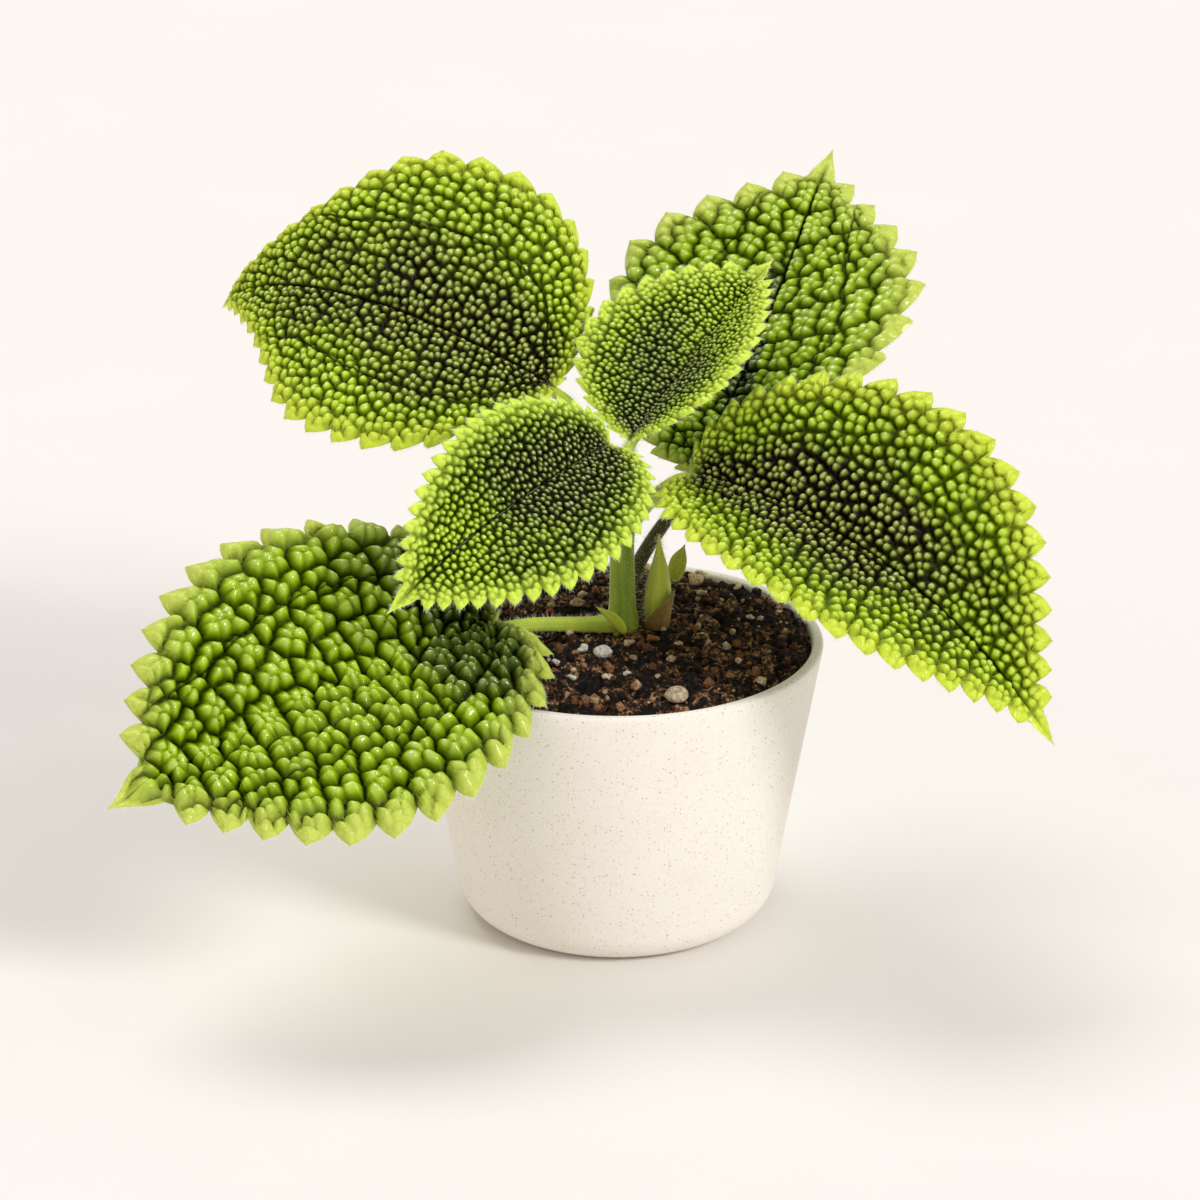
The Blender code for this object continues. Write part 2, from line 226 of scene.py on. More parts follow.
def newGroup(name, inputs, outputs):
    # an empty group with its sockets: the tree, the node of its inputs and the node of its outputs
    tree = bpy.data.node_groups.new(name, "ShaderNodeTree")
    for socket, (kind, value) in inputs.items():
        added = tree.interface.new_socket(name=socket, in_out="INPUT", socket_type="NodeSocket" + kind)
        added.default_value = value
    for socket, kind in outputs.items():
        tree.interface.new_socket(name=socket, in_out="OUTPUT", socket_type="NodeSocket" + kind)
    return tree, addNode(tree, "NodeGroupInput"), addNode(tree, "NodeGroupOutput")


def newMaterial(name, settings=None):
    # a material with its Principled shader's plain values set: its tree and its shader
    material = bpy.data.materials.new(name)
    material.use_nodes = True
    shader = material.node_tree.nodes["Principled BSDF"]
    for key, value in (settings or {}).items():
        shader.inputs[key].default_value = value
    return material, material.node_tree, shader


def bumpNode(tree, shader, height, distance, strength=1.0):
    # tilts the shader's normal by a height of 0 to 1 times a distance in metres
    inputs = {"Height": height, "Distance": distance, "Strength": strength}
    tree.links.new(addNode(tree, "ShaderNodeBump", inputs).outputs["Normal"], shader.inputs["Normal"])


# How each blade sits and bends (degrees and metres), as in the solids: base is where it meets its
# petiole. Then its relief: teeth on each side and how far they stand out, the size of a quilted
# cell and of a bump in it and how high both stand; how bronze it is, and how far that reaches
# across and along; and its grid.
leafSpecs = {
    "leaf_back_left": dict(
        base=(-0.0121, 0.0193, 0.0997), heading=155, pitch=22, roll=-28,
        length=0.0830, left=0.0335, right=0.0385, widest=0.36, lobe=0.04, tipWidth=1.00, tipReach=0.65,
        fold=11, cup=-13, arch=-16, droop=-53, bend=8, twist=-18,
        teeth=19, tipLobe=0.0045, tooth=0.0028, cell=0.0040, bump=0.0017, rimFade=0.0046,
        cellHeight=0.0004, bumpHeight=0.0013, cellRound=0.26, stray=0.8, ranks=3, packed=0.4,
        spread=0.60, pillow=0.15, gather=0.12, lateral=0.7, bronze=0.95, bronzeAcross=0.58, bronzeAlong=0.95,
        star=0.0, colours="grown", rowsPerTooth=18, columns=112, seed=11),
    "leaf_back_right": dict(
        base=(0.0150, 0.0162, 0.0836), heading=55, pitch=34, roll=-10,
        length=0.0795, left=0.0345, right=0.0325, widest=0.49, lobe=0.03, tipWidth=0.49, tipReach=0.40,
        fold=13, cup=-7, arch=18, droop=-18, bend=12, twist=27,
        teeth=12, tipLobe=0.0075, tooth=0.0038, cell=0.0058, bump=0.0021, rimFade=0.0035,
        cellHeight=0.0010, bumpHeight=0.0012, cellRound=0.32, stray=0.80, ranks=3, packed=0.5,
        spread=0.66, pillow=0.45, gather=0.2, lateral=0.5, bronze=0.9, bronzeAcross=0.10, bronzeAlong=0.8,
        star=0.0, colours="old", rowsPerTooth=24, columns=70, seed=23),
    "leaf_top_back": dict(
        base=(0.0024, 0.0066, 0.0938), heading=50, pitch=31, roll=0,
        length=0.0490, left=0.0225, right=0.0180, widest=0.37, lobe=0.03, tipWidth=0.59, tipReach=0.20,
        fold=25, cup=-8, arch=4, droop=-1, bend=-5, twist=5,
        teeth=15, tipLobe=0.0045, tooth=0.0022, cell=0.0026, bump=0.0011, rimFade=0.0036,
        cellHeight=0.0002, bumpHeight=0.0008, cellRound=0.24, stray=0.80, ranks=3, packed=0.30,
        spread=0.60, pillow=0.1, gather=0.1, lateral=0.0, bronze=0.85, bronzeAcross=0.62, bronzeAlong=0.7,
        star=0.0, colours="young", rowsPerTooth=18, columns=80, seed=37),
    "leaf_top_front": dict(
        base=(-0.0017, 0.0024, 0.0944), heading=229, pitch=-6, roll=-33,
        length=0.0600, left=0.0215, right=0.0185, widest=0.37, lobe=0.12, tipWidth=0.55, tipReach=0.23,
        fold=14, cup=-7, arch=-19, droop=-22, bend=4, twist=-18,
        teeth=22, tipLobe=0.0050, tooth=0.0023, cell=0.0030, bump=0.0013, rimFade=0.0030,
        cellHeight=0.00025, bumpHeight=0.0009, cellRound=0.24, stray=0.80, ranks=2, packed=0.30,
        spread=0.60, pillow=0.1, gather=0.1, lateral=0.0, bronze=0.95, bronzeAcross=0.78, bronzeAlong=0.72,
        star=0.0, colours="young", rowsPerTooth=13, columns=87, seed=41),
    "leaf_right": dict(
        base=(0.0145, 0.0065, 0.0869), heading=-38, pitch=1, roll=27,
        length=0.0935, left=0.0325, right=0.0275, widest=0.41, lobe=0.09, tipWidth=0.63, tipReach=0.39,
        fold=17, cup=15, arch=-34, droop=-19, bend=-22, twist=-4,
        teeth=20, tipLobe=0.0065, tooth=0.0030, cell=0.0044, bump=0.0018, rimFade=0.0046,
        cellHeight=0.0004, bumpHeight=0.0014, cellRound=0.26, stray=0.8, ranks=3, packed=0.38,
        spread=0.58, pillow=0.1, gather=0.14, lateral=0.2, bronze=1.0, bronzeAcross=0.57, bronzeAlong=0.86,
        star=0.0, colours="grown", rowsPerTooth=16, columns=97, seed=53),
    "leaf_front_left": dict(
        base=(-0.0233, -0.0091, 0.0617), heading=212, pitch=-5, roll=-21,
        length=0.0870, left=0.0395, right=0.0366, widest=0.41, lobe=0.12, tipWidth=0.73, tipReach=0.25,
        fold=23, cup=-23, arch=-16, droop=15, bend=9, twist=-18,
        teeth=15, tipLobe=0.0080, tooth=0.0042, cell=0.0068, bump=0.0026, rimFade=0.0035,
        cellHeight=0.0026, bumpHeight=0.0014, cellRound=0.40, stray=0.9, ranks=2, packed=0.70,
        spread=0.70, pillow=0.5, gather=0.25, lateral=0.5, bronze=0.8, bronzeAcross=1.4, bronzeAlong=0.26,
        star=1.0, colours="old", rowsPerTooth=20, columns=76, seed=67),
}
blade = dict(
    thickness=0.00055,             # between veins, thinning to nothing at the margin
    apex=0.68, ogive=3.0,          # where a tooth's point stands between two notches; how round its sides
    tipRows=16, stretch=(1.0, 0.86),  # rows of the end lobe; how bumps lengthen across
    tries=26, gloss=0.9,           # places tried for each bump; how strongly the bumps shine
    keel=0.0009, veinRise=0.00008, midribWidth=0.0003, sideWidth=0.0002,
    rowPower=1.5, bow=0.05,        # how rows bunch towards the base; how far they bow back
    apart=0.82, creaseWidth=0.12,  # least distance between bumps, over their size; over a tooth's depth
    gapWidth=0.13)


def cubic(a, b, c, d, t):
    # cubic Bezier through a and d with handles b and c
    t = t[..., None]
    u = 1 - t
    return (u ** 3 * np.array(a) + 3 * u * u * t * np.array(b)
            + 3 * u * t * t * np.array(c) + t ** 3 * np.array(d))


def halfOutline(leaf, halfWidth, t):
    # one side of the flat blade, base to tip: a round lobe to the widest point, a shoulder to the tip
    length = leaf["length"]
    widest = leaf["widest"] * length
    lobe = leaf["lobe"] * length
    rest = length - widest
    lobeSide = cubic(
        (0, 0), (-1.35 * lobe, 0.30 * halfWidth),
        (widest - 0.62 * (widest + lobe), halfWidth), (widest, halfWidth), np.clip(2 * t, 0, 1))
    tipSide = cubic(
        (widest, halfWidth), (widest + 0.5 * rest, halfWidth),
        (length - leaf["tipReach"] * rest, leaf["tipWidth"] * 0.55 * halfWidth), (length, 0),
        np.clip(2 * t - 1, 0, 1))
    return np.where((t < 0.5)[..., None], lobeSide, tipSide)


def onHalf(leaf, halfWidth, t, share):
    # a point of one flat half: rows leave the midrib at length * t^1.5, run to the outline and bow
    # back; a share of the way along row t, and the row's whole span
    start = np.stack([leaf["length"] * t ** blade["rowPower"], 0 * t], axis=-1)
    end = halfOutline(leaf, halfWidth, t)
    span = np.linalg.norm(end - start, axis=-1)
    flat = start + (end - start) * share[..., None]
    flat[..., 0] -= blade["bow"] * span * np.sin(pi * np.clip(share, 0, 1)) * smooth(t, 0.1, 0.4)
    return flat, span


def curl(leaf, flat):
    # bends the flat blade: fold and cup across it, then twist, then arch and bend along the midrib
    along, across = flat[..., 0], flat[..., 1]
    length = leaf["length"]
    fold, cup, arch, droop, bend, twist = (
        radians(leaf[key]) for key in ("fold", "cup", "arch", "droop", "bend", "twist"))
    curvature = cup / (0.5 * (leaf["left"] + leaf["right"]))
    slope = fold + curvature * np.abs(across)
    side = np.sign(across) * (np.sin(slope) - sin(fold)) / curvature
    rise = (cos(fold) - np.cos(slope)) / curvature
    turn = twist * along / length
    side, rise = side * np.cos(turn) - rise * np.sin(turn), side * np.sin(turn) + rise * np.cos(turn)
    share = np.linspace(0, 1, 60)
    pitch = arch * share + droop * share ** 3
    heading = bend * share
    step = length / (len(share) - 1)
    direction = np.stack([
        np.cos(pitch) * np.cos(heading), np.cos(pitch) * np.sin(heading), np.sin(pitch)], axis=-1)
    midrib = np.zeros((len(share), 3))
    midrib[1:] = np.cumsum(0.5 * step * (direction[1:] + direction[:-1]), axis=0)
    here = np.clip(along / length, 0, 1)
    place = np.stack([np.interp(here, share, midrib[:, i]) for i in range(3)], axis=-1)
    place[..., 0] += np.minimum(along, 0)
    pitch = arch * here + droop * here ** 3
    heading = bend * here
    sideways = np.stack([-np.sin(heading), np.cos(heading), 0 * heading], axis=-1)
    upward = np.stack([
        -np.sin(pitch) * np.cos(heading), -np.sin(pitch) * np.sin(heading), np.cos(pitch)], axis=-1)
    return place + side[..., None] * sideways + rise[..., None] * upward


def leafTurn(leaf):
    # the rotation that sets a blade's own axes into the plant: roll, then pitch, then heading
    a, b, c = radians(leaf["heading"]), radians(leaf["pitch"]), radians(leaf["roll"])
    head = np.array([[cos(a), -sin(a), 0], [sin(a), cos(a), 0], [0, 0, 1]])
    lift = np.array([[cos(b), 0, -sin(b)], [0, 1, 0], [sin(b), 0, cos(b)]])
    lean = np.array([[1, 0, 0], [0, cos(c), -sin(c)], [0, sin(c), cos(c)]])
    return head @ lift @ lean


def toPlant(leaf, points):
    # from a blade's own axes into the plant: turned, then moved to its base
    return points @ leafTurn(leaf).T + np.array(leaf["base"])


def lateralShare(t):
    # where a row crosses the side vein that runs with the midrib: out fast, level, then to the margin
    return 0.52 * smooth(t, 0.0, 0.35) + 0.48 * smooth(t, 0.70, 0.95)


def marginWalk(leaf, halfWidth):
    # t along the outline, and the share of the toothed margin behind it, from the base to the end
    # lobe, walked faster in the middle, where the teeth are wider
    t = np.linspace(0, 1, 600)
    edge = halfOutline(leaf, halfWidth, t)
    steps = np.linalg.norm(np.diff(edge, axis=0), axis=1) / (0.72 + 0.4 * np.sin(pi * t[1:]))
    walked = np.concatenate([[0], np.cumsum(steps)])
    end = np.interp(leaf["length"] - leaf["tipLobe"], edge[300:, 0], t[300:])
    return t, walked / np.interp(end, t, walked)


def bumpSeeds(leaf, halfWidth, draws):
    # middles of the bumps on one half: random places near rows that run out to the margin, each kept
    # where no kept one is too near; small by the midrib and the base, larger outwards, and drawn
    # towards the middle of their cell, which lies between two side veins; with each one's cell and size
    teeth, bump, tooth = leaf["teeth"], leaf["bump"], leaf["tooth"]
    tries = int(blade["tries"] * leaf["length"] * halfWidth / bump ** 2)
    margin, walked = marginWalk(leaf, halfWidth)
    share = draws.uniform(0, 1.04, tries)
    ranks = teeth * leaf["ranks"]
    share = (np.floor(share * ranks) + 0.5 + leaf["stray"] * (share * ranks % 1 - 0.5)) / ranks
    t = np.interp(share, walked, margin)
    s = draws.uniform(0, 1.1 * halfWidth, tries)
    span = onHalf(leaf, halfWidth, t, 0 * t)[1]
    size = bump * (0.85 + 0.3 * s / halfWidth) * (0.8 + 0.2 * smooth(t, 0.05, 0.4))
    foot = span - tooth * (0.3 + 0.8 * np.abs(share * teeth % 1 - blade["apex"]))
    inside = (s < foot) & (s > 0.42 * size)
    share, t, s, span, size = share[inside], t[inside], s[inside], span[inside], size[inside]
    flat = onHalf(leaf, halfWidth, t, s / span)[0] * blade["stretch"]
    kept = np.zeros(len(flat), dtype=int)
    count = 0
    for i in range(len(flat)):
        square = ((flat[kept[:count]] - flat[i]) ** 2).sum(axis=1)
        if count == 0 or np.min(square) > (blade["apart"] * size[i]) ** 2:
            kept[count] = i
            count += 1
    kept = kept[:count]
    share, t, s, span, size, seeds = share[kept], t[kept], s[kept], span[kept], size[kept], flat[kept]
    row = (share * teeth).astype(int)
    shift = draws.uniform(-0.4, 0.4, teeth + 2)[row]
    outer = s > lateralShare(t) * span
    cell = row * 200 + 100 * outer + np.floor(s / leaf["cell"] + 0.5 + shift).astype(int)
    _, cell = np.unique(cell, return_inverse=True)
    members = np.bincount(cell)
    middle = np.stack([np.bincount(cell, seeds[:, i]) / members for i in range(2)], axis=1)[cell]
    return seeds + leaf["gather"] * (middle - seeds), cell, size


def bumpFields(flat, seeds, cells, radii):
    # for each point of the grid: its highest bump, its share 1 - (d / r)^2, and the distances to
    # the borders of its bump and of its cell, (d2^2 - d1^2) / (2 * the seeds' distance)
    shape = flat.shape[:2]
    highest = np.zeros(shape, dtype=int)
    rise, toBump, toCell = np.zeros(shape), np.zeros(shape), np.zeros(shape)
    for rows in np.array_split(np.arange(shape[0]), 20):
        for columns in np.array_split(np.arange(shape[1]), 6):
            block = np.ix_(rows, columns)
            here = flat[block].reshape(-1, 2)
            near = np.argsort(np.linalg.norm(seeds - here.mean(axis=0), axis=1))[:100]
            square = ((here[:, None] - seeds[near][None]) ** 2).sum(axis=2)
            points = np.arange(len(here))
            size = (len(rows), len(columns))
            share = np.maximum(1 - square / radii[near] ** 2, 0)
            scaled = share * radii[near] ** 2
            best = np.where(scaled.max(axis=1) > 0, scaled.argmax(axis=1), square.argmin(axis=1))
            highest[block] = near[best].reshape(size)
            rise[block] = share[points, best].reshape(size)
            first = square.argmin(axis=1)
            between = np.linalg.norm(seeds[near][None] - seeds[near][first][:, None], axis=2)
            border = (square - square[points, first][:, None]) / (2 * np.maximum(between, 1e-6))
            toBump[block] = np.where(between < 1e-9, 1, border).min(axis=1).reshape(size)
            same = cells[near][None] == cells[near][first][:, None]
            toCell[block] = np.where(same, 1, border).min(axis=1).reshape(size)
    return highest, rise, toBump, toCell


def edgeDistance(flat, reach):
    # shortest distance from each grid point to the margin's points of the rows within reach
    margin = flat[:, -1]
    rows = np.arange(len(margin))
    nearest = np.ones(flat.shape[:2])
    for offset in range(-reach, reach + 1):
        other = margin[np.clip(rows + offset, 0, len(margin) - 1)]
        nearest = np.minimum(nearest, np.linalg.norm(flat - other[:, None], axis=2))
    return nearest


def halfBlade(leaf, side, draws):
    # one half's flat grid from midrib to margin, its relief and its masks
    teeth, perTooth = leaf["teeth"], leaf["rowsPerTooth"]
    tooth, bump = leaf["tooth"], leaf["bump"]
    halfWidth = leaf["left"] if side > 0 else leaf["right"]
    margin, walked = marginWalk(leaf, halfWidth)
    row = np.arange(teeth * perTooth + blade["tipRows"] + 1)
    onLobe = np.clip((row - teeth * perTooth) / blade["tipRows"], 0, 1)
    t = np.interp(np.minimum(row / (teeth * perTooth), 1), walked, margin)
    t = t + onLobe * (1 - t)
    v = np.linspace(0, 1, leaf["columns"] + 1)[None]
    apex = round(blade["apex"] * perTooth) / perTooth
    phase = np.where(onLobe > 0, apex, row % perTooth / perTooth)
    rise = np.where(phase < apex, phase / apex, (1 - phase) / (1 - apex))
    point = 0.5 * (1 - (1 - rise) ** blade["ogive"]) + 0.4 * rise + 0.1 * rise ** 6
    edge, span = onHalf(leaf, halfWidth, t, 0 * t + 1)
    width = np.linalg.norm(np.gradient(edge, axis=0), axis=1) * perTooth
    width = np.where(onLobe > 0, tooth, width)
    size = np.interp(row / perTooth, np.arange(teeth + 1), draws.uniform(0.85, 1.12, teeth + 1))
    depth = np.minimum(tooth * size, 0.75 * width) * (1 - point)
    deepest = np.where(onLobe > 0, 0.6 - 0.2 * np.sin(pi * onLobe ** 0.7), 0.42 * (1 - point))
    depth = np.where(onLobe > 0, span * deepest, depth)
    notch = np.minimum(depth / np.maximum(span, 1e-6), deepest)[:, None]
    share = v - notch * v ** 2
    flat = onHalf(leaf, halfWidth, t[:, None] + 0 * v, share)[0]

    seeds, cells, sizes = bumpSeeds(leaf, halfWidth, draws)
    radii = leaf["spread"] * sizes
    highest, crown, toBump, toCell = bumpFields(flat * blade["stretch"], seeds, cells, radii)
    crown += leaf["packed"] * (dome(toBump / (0.42 * sizes[highest])) - crown)
    tone = draws.uniform(0, 1, len(seeds))[highest]
    span = span[:, None]
    toOutline = span * (1 - share)
    toMargin = edgeDistance(flat, perTooth)
    toMidrib = flat[..., 1]
    toLateral = np.abs(share - lateralShare(t)[:, None]) * span
    sideVein = 1 - smooth(t, 0.8, 0.95)[:, None]
    toCrease = (np.abs(phase - apex) * width + 0.01 * (onLobe > 0))[:, None]
    toGap = (np.minimum(phase, 1 - phase) * width + 0.01 * (onLobe > 0))[:, None]
    onTooth = 1 - smooth(toOutline, 0.45 * tooth, 1.15 * tooth)

    cellDome = dome(toCell / (leaf["cellRound"] * leaf["cell"]))
    atLateral = leaf["lateral"] * sideVein * (1 - dome(toLateral / (0.3 * bump)))
    veinRoom = dome(toMidrib / (0.6 * bump)) * (1 - atLateral)
    edgeRoom = dome(toMargin / (0.45 * tooth)) * smooth(span, 0.001, 0.008)
    lumps = 1 + 0.3 * (patches(flat[..., 0], flat[..., 1], 0.4 * bump, 5) - 0.5)
    beads = leaf["bumpHeight"] * np.sqrt(crown) * lumps * (0.85 + 0.3 * tone) * sizes[highest] / bump
    relief = (leaf["cellHeight"] * cellDome + beads) * veinRoom * (1 - 0.45 * onTooth)
    pad = dome(toMargin / (0.5 * tooth)) * (1 - 0.5 * bell(toCrease, blade["creaseWidth"] * tooth))
    pad = pad * (1 - 0.6 * bell(toGap, blade["gapWidth"] * tooth)) * smooth(toMidrib, 0, 0.001)
    relief = np.maximum(relief * edgeRoom, 0.1 * tooth * pad * onTooth * smooth(span, 0.0, 0.004))
    lines = bell(toMidrib, blade["midribWidth"])
    lines = lines + leaf["lateral"] * sideVein * bell(toLateral, blade["sideWidth"])
    relief += blade["veinRise"] * lines * smooth(toMargin, 0, 0.002)
    # height: the colour mask, low in valleys, tooth creases and gaps, where the material paints shade, and 1
    # on bump tops, where it paints highlight
    height = cellDome ** 0.5 * (leaf["pillow"] + (1 - leaf["pillow"]) * crown * lumps) * veinRoom
    toothVein = sum(bell(toCrease - slant * toOutline, blade["sideWidth"]) for slant in (0, 0.7))
    height = np.maximum(height, onTooth * (0.6 + 0.4 * pad - 0.3 * toothVein))

    length = leaf["length"]
    drift = patches(flat[..., 0], flat[..., 1], 0.009, leaf["seed"] + side) - 0.5
    across = 1 - smooth(share + 0.3 * drift, 0.45 * leaf["bronzeAcross"], 1.25 * leaf["bronzeAcross"])
    reach = leaf["bronzeAlong"]
    lengthways = 1 - smooth(flat[..., 0] / length + 0.2 * drift, 0.5 * reach, reach)
    fromBase = np.linalg.norm(flat, axis=-1)
    masks = dict(
        height=height, tone=tone,
        bronze=leaf["bronze"] * across * lengthways,
        rim=1 - smooth(toOutline, 0.3 * tooth, 1.5 * tooth + leaf["rimFade"]),
        star=leaf["star"] * np.clip(lines, 0, 1) * (1 - smooth(fromBase, 0.002, 0.012)),
        midrib=1000 * toMidrib + 3 * smooth(t, 0.85, 1.0)[:, None],
        lateral=1000 * toLateral + 3 * (1 - sideVein * (leaf["lateral"] > 0.4)), edge=1000 * toMargin)
    flat[..., 1] *= side
    return flat, relief, masks


def joinHalves(left, right):
    # left half from its margin to the midrib, then the right half without its midrib column
    return np.concatenate([left[:, ::-1], right[:, 1:]], axis=1)


def closedSheet(top, under, masks, columns, skip=1):
    # joins an upper grid at its side margins to an under grid of some of its inner columns and of
    # every row, or every second one, and gathers the first and last rows of both to one point each
    middle = top.shape[1] // 2
    index = np.arange(top[..., 0].size).reshape(top.shape[:2])
    index[0] = index[0, middle]
    index[-1] = index[-1, middle]
    under = under[::skip]
    inner = index.size + np.arange(under[..., 0].size).reshape(under.shape[:2])
    inner[0] = index[0, middle]
    inner[-1] = index[-1, middle]
    beside = inner[(np.arange(len(top)) + skip // 2) // skip]
    strips = [np.stack([index[:, 0], beside[:, 0]], axis=1), np.stack([beside[:, -1], index[:, -1]], axis=1)]
    faces = [gridFaces(index)[:, ::-1], gridFaces(inner)] + [gridFaces(strip) for strip in strips]
    points = np.concatenate([top.reshape(-1, 3), under.reshape(-1, 3)])
    merged = {
        key: np.concatenate([mask.ravel(), mask[::skip, columns].ravel()]) for key, mask in masks.items()}
    merged["under"] = np.concatenate([np.zeros(index.size), np.ones(inner.size)])
    return points, np.concatenate(faces), merged


def makeLeaf(name, leaf, material):
    # upper face with its relief, and an under face of fewer columns with its ribs standing down
    draws = np.random.default_rng(leaf["seed"])
    left, right = (halfBlade(leaf, side, draws) for side in (1, -1))
    middle = leaf["columns"]
    base = toPlant(leaf, curl(leaf, joinHalves(left[0], right[0])))
    normals = gridNormals(base)
    relief = joinHalves(left[1], right[1])
    masks = {key: joinHalves(left[2][key], right[2][key]) for key in left[2]}
    top = base + normals * relief[..., None]
    steps = np.concatenate([[1, 2, 4], np.arange(7, middle, 4)])
    columns = np.concatenate([middle - steps[::-1], [middle], middle + steps])
    taper = smooth(masks["edge"], 0, 1.4) * np.linspace(1, 0.5, len(base))[:, None]
    ribs = bell(masks["midrib"], 0.9) + 0.35 * bell(masks["lateral"], 0.8)
    pits = np.minimum(0.5 * relief, 0.8 * blade["thickness"] * taper)
    drop = (blade["thickness"] + blade["keel"] * ribs) * taper - pits
    under = (base - normals * drop[..., None])[:, columns]
    piece = makeMesh(name.replace("leaf", "blade"), *closedSheet(top, under, masks, columns, 2))
    finishPiece(piece, material, "leaf", name)
    return dict(top=top, base=base, normals=normals, masks=masks, leaf=leaf)


# Display colours of the blades: bumps, the valleys between them (dark partly by their own colour, partly as
# painted shade), both where the blade is bronze (on old blades a plain darker green), the margin's teeth,
# and the under face
bladeColours = {
    "old": dict(bump=(166, 198, 16), valley=(52, 80, 0), bronzeBump=(52, 76, 2),
                bronzeValley=(8, 16, 0), rim=(200, 216, 92), under=(142, 172, 84)),
    "grown": dict(bump=(178, 210, 8), valley=(80, 104, 0), bronzeBump=(128, 146, 22),
                  bronzeValley=(24, 13, 4), rim=(212, 232, 70), under=(140, 170, 84)),
    "young": dict(bump=(172, 206, 6), valley=(50, 70, 0), bronzeBump=(96, 118, 16),
                  bronzeValley=(22, 12, 4), rim=(218, 244, 88), under=(158, 188, 96)),
}
bladeSockets = {
    "Bump": "bump", "Valley": "valley", "Bronze Bump": "bronzeBump", "Bronze Valley": "bronzeValley",
    "Rim": "rim", "Under": "under"}


def veinLines(tree, onMidrib, onLateral):
    # the stronger of a line on the midrib and one on the side veins, each a fade of its distance in mm
    midrib = fade(tree, maskNode(tree, "midrib"), *onMidrib)
    return mathNode(tree, "MAXIMUM", midrib, fade(tree, maskNode(tree, "lateral"), *onLateral))


def makeBladeGroup():
    # colour by height between valley and bump, green or bronze, with painted shade low down and painted
    # highlight on the tops, to the margin's lime, with veins
    sockets = {name: ("Color", (0.5, 0.5, 0.5, 1.0)) for name in bladeSockets}
    outputs = {"Colour": "Color", "Roughness": "Float", "Gloss": "Float", "Height": "Float"}
    tree, given, result = newGroup("bladeSkin", sockets, outputs)
    given = given.outputs
    place = placeNode(tree)
    grain = noiseNode(tree, 0.0009, 3.0, 0.6, place)
    drift = noiseNode(tree, 0.011, 2.0, 0.5, place)
    height = maskNode(tree, "height")
    # valley colour low down, bump colour on top, green and bronze alike: partly the blade's own darker
    # valleys, partly painted shade in them
    top = fade(tree, height, 0.12, 0.95)
    # crown: painted shade low on the bumps (x0.9) and painted highlight on their tops (x1.2)
    crown = fade(tree, height, 0.5, 1.0, 0.9, 1.2)
    green = mixColours(tree, top, given["Valley"], given["Bump"])
    bronze = mixColours(tree, fade(tree, height, 0.3, 1.0), given["Bronze Valley"], given["Bronze Bump"])
    body = mixColours(tree, maskNode(tree, "bronze"), green, bronze)
    shade = mathNode(tree, "ADD", maskNode(tree, "tone"), fade(tree, drift, 0.3, 0.7))
    body = scaled(tree, body, fade(tree, shade, 0.0, 2.0, 0.85, 1.12))
    # painted shade and highlight by height
    body = scaled(tree, body, crown)
    # painted highlight: the highest bump tops mixed towards a pale green
    body = mixColours(tree, fade(tree, height, 0.76, 0.98, 0.0, 0.45), body, fromDisplay(206, 214, 132))
    net = addNode(
        tree, "ShaderNodeTexVoronoi", {"Vector": place, "Scale": 480.0}, feature="DISTANCE_TO_EDGE")
    netLine = fade(tree, net.outputs["Distance"], 0.02, 0.16, 1.0, 0.0)
    # limeShade: painted shade on the teeth, darker low in their creases and gaps, less the fine vein net
    limeShade = mathNode(tree, "SUBTRACT", fade(tree, height, 0.0, 0.85, 0.66, 1.06),
                         mathNode(tree, "MULTIPLY", netLine, 0.12))
    lime = scaled(tree, given["Rim"], limeShade)
    body = mixColours(tree, maskNode(tree, "rim"), body, lime)
    groove = veinLines(tree, (0.2, 0.9, 0.85, 0.0), (0.1, 0.4, 0.6, 0.0))
    body = mixColours(tree, groove, body, given["Bronze Valley"])
    dashes = fade(tree, noiseNode(tree, 0.0014, 2.0, 0.5, place), 0.42, 0.56, 0.0, 0.9)
    thread = veinLines(tree, (0.12, 0.3, 1.0, 0.0), (0.02, 0.08, 1.0, 0.0))
    body = mixColours(tree, mathNode(tree, "MULTIPLY", thread, dashes), body, fromDisplay(150, 160, 110))
    body = mixColours(tree, maskNode(tree, "star"), body, fromDisplay(196, 204, 80))
    ribs = veinLines(tree, (0.5, 1.3, 1.0, 0.0), (0.3, 0.9, 0.8, 0.0))
    ribs = mathNode(tree, "MAXIMUM", ribs, mathNode(tree, "MULTIPLY", netLine, 0.55))
    under = mixColours(tree, ribs, given["Under"], fromDisplay(190, 208, 128))
    under = scaled(tree, under, fade(tree, drift, 0.3, 0.7, 0.85, 1.08))
    colour = mixColours(tree, maskNode(tree, "under"), body, under)
    rim = mathNode(tree, "MULTIPLY", maskNode(tree, "rim"), 0.75)
    matt = mathNode(tree, "MAXIMUM", maskNode(tree, "under"), rim)
    shine = fade(tree, height, 0.55, 0.95, 0.0, blade["gloss"])
    gloss = mathNode(tree, "MULTIPLY", shine, mathNode(tree, "SUBTRACT", 1.0, matt))
    rough = fade(tree, grain, 0.3, 0.7, 0.35, 0.5)
    feed(tree, result, {"Colour": colour, "Roughness": rough, "Gloss": gloss, "Height": grain})
    return tree


def makeBladeMaterial(name, group, colours):
    settings = {"Specular IOR Level": 0.12, "Coat Roughness": 0.12, "Coat IOR": 1.75}
    material, tree, shader = newMaterial(name, settings)
    inputs = {socket: fromDisplay(*colours[key]) for socket, key in bladeSockets.items()}
    skin = addNode(tree, "ShaderNodeGroup", inputs, node_tree=group).outputs
    feed(tree, shader, {
        "Base Color": skin["Colour"], "Roughness": skin["Roughness"], "Coat Weight": skin["Gloss"]})
    bumpNode(tree, shader, skin["Height"], 0.00018)
    return material


bladeGroup = makeBladeGroup()
bladeMaterials = {
    name: makeBladeMaterial(name + "Blade", bladeGroup, colours) for name, colours in bladeColours.items()}
leaves = {
    name: makeLeaf(name, leaf, bladeMaterials[leaf["colours"]]) for name, leaf in leafSpecs.items()}
print("leaves made:", len(leaves))


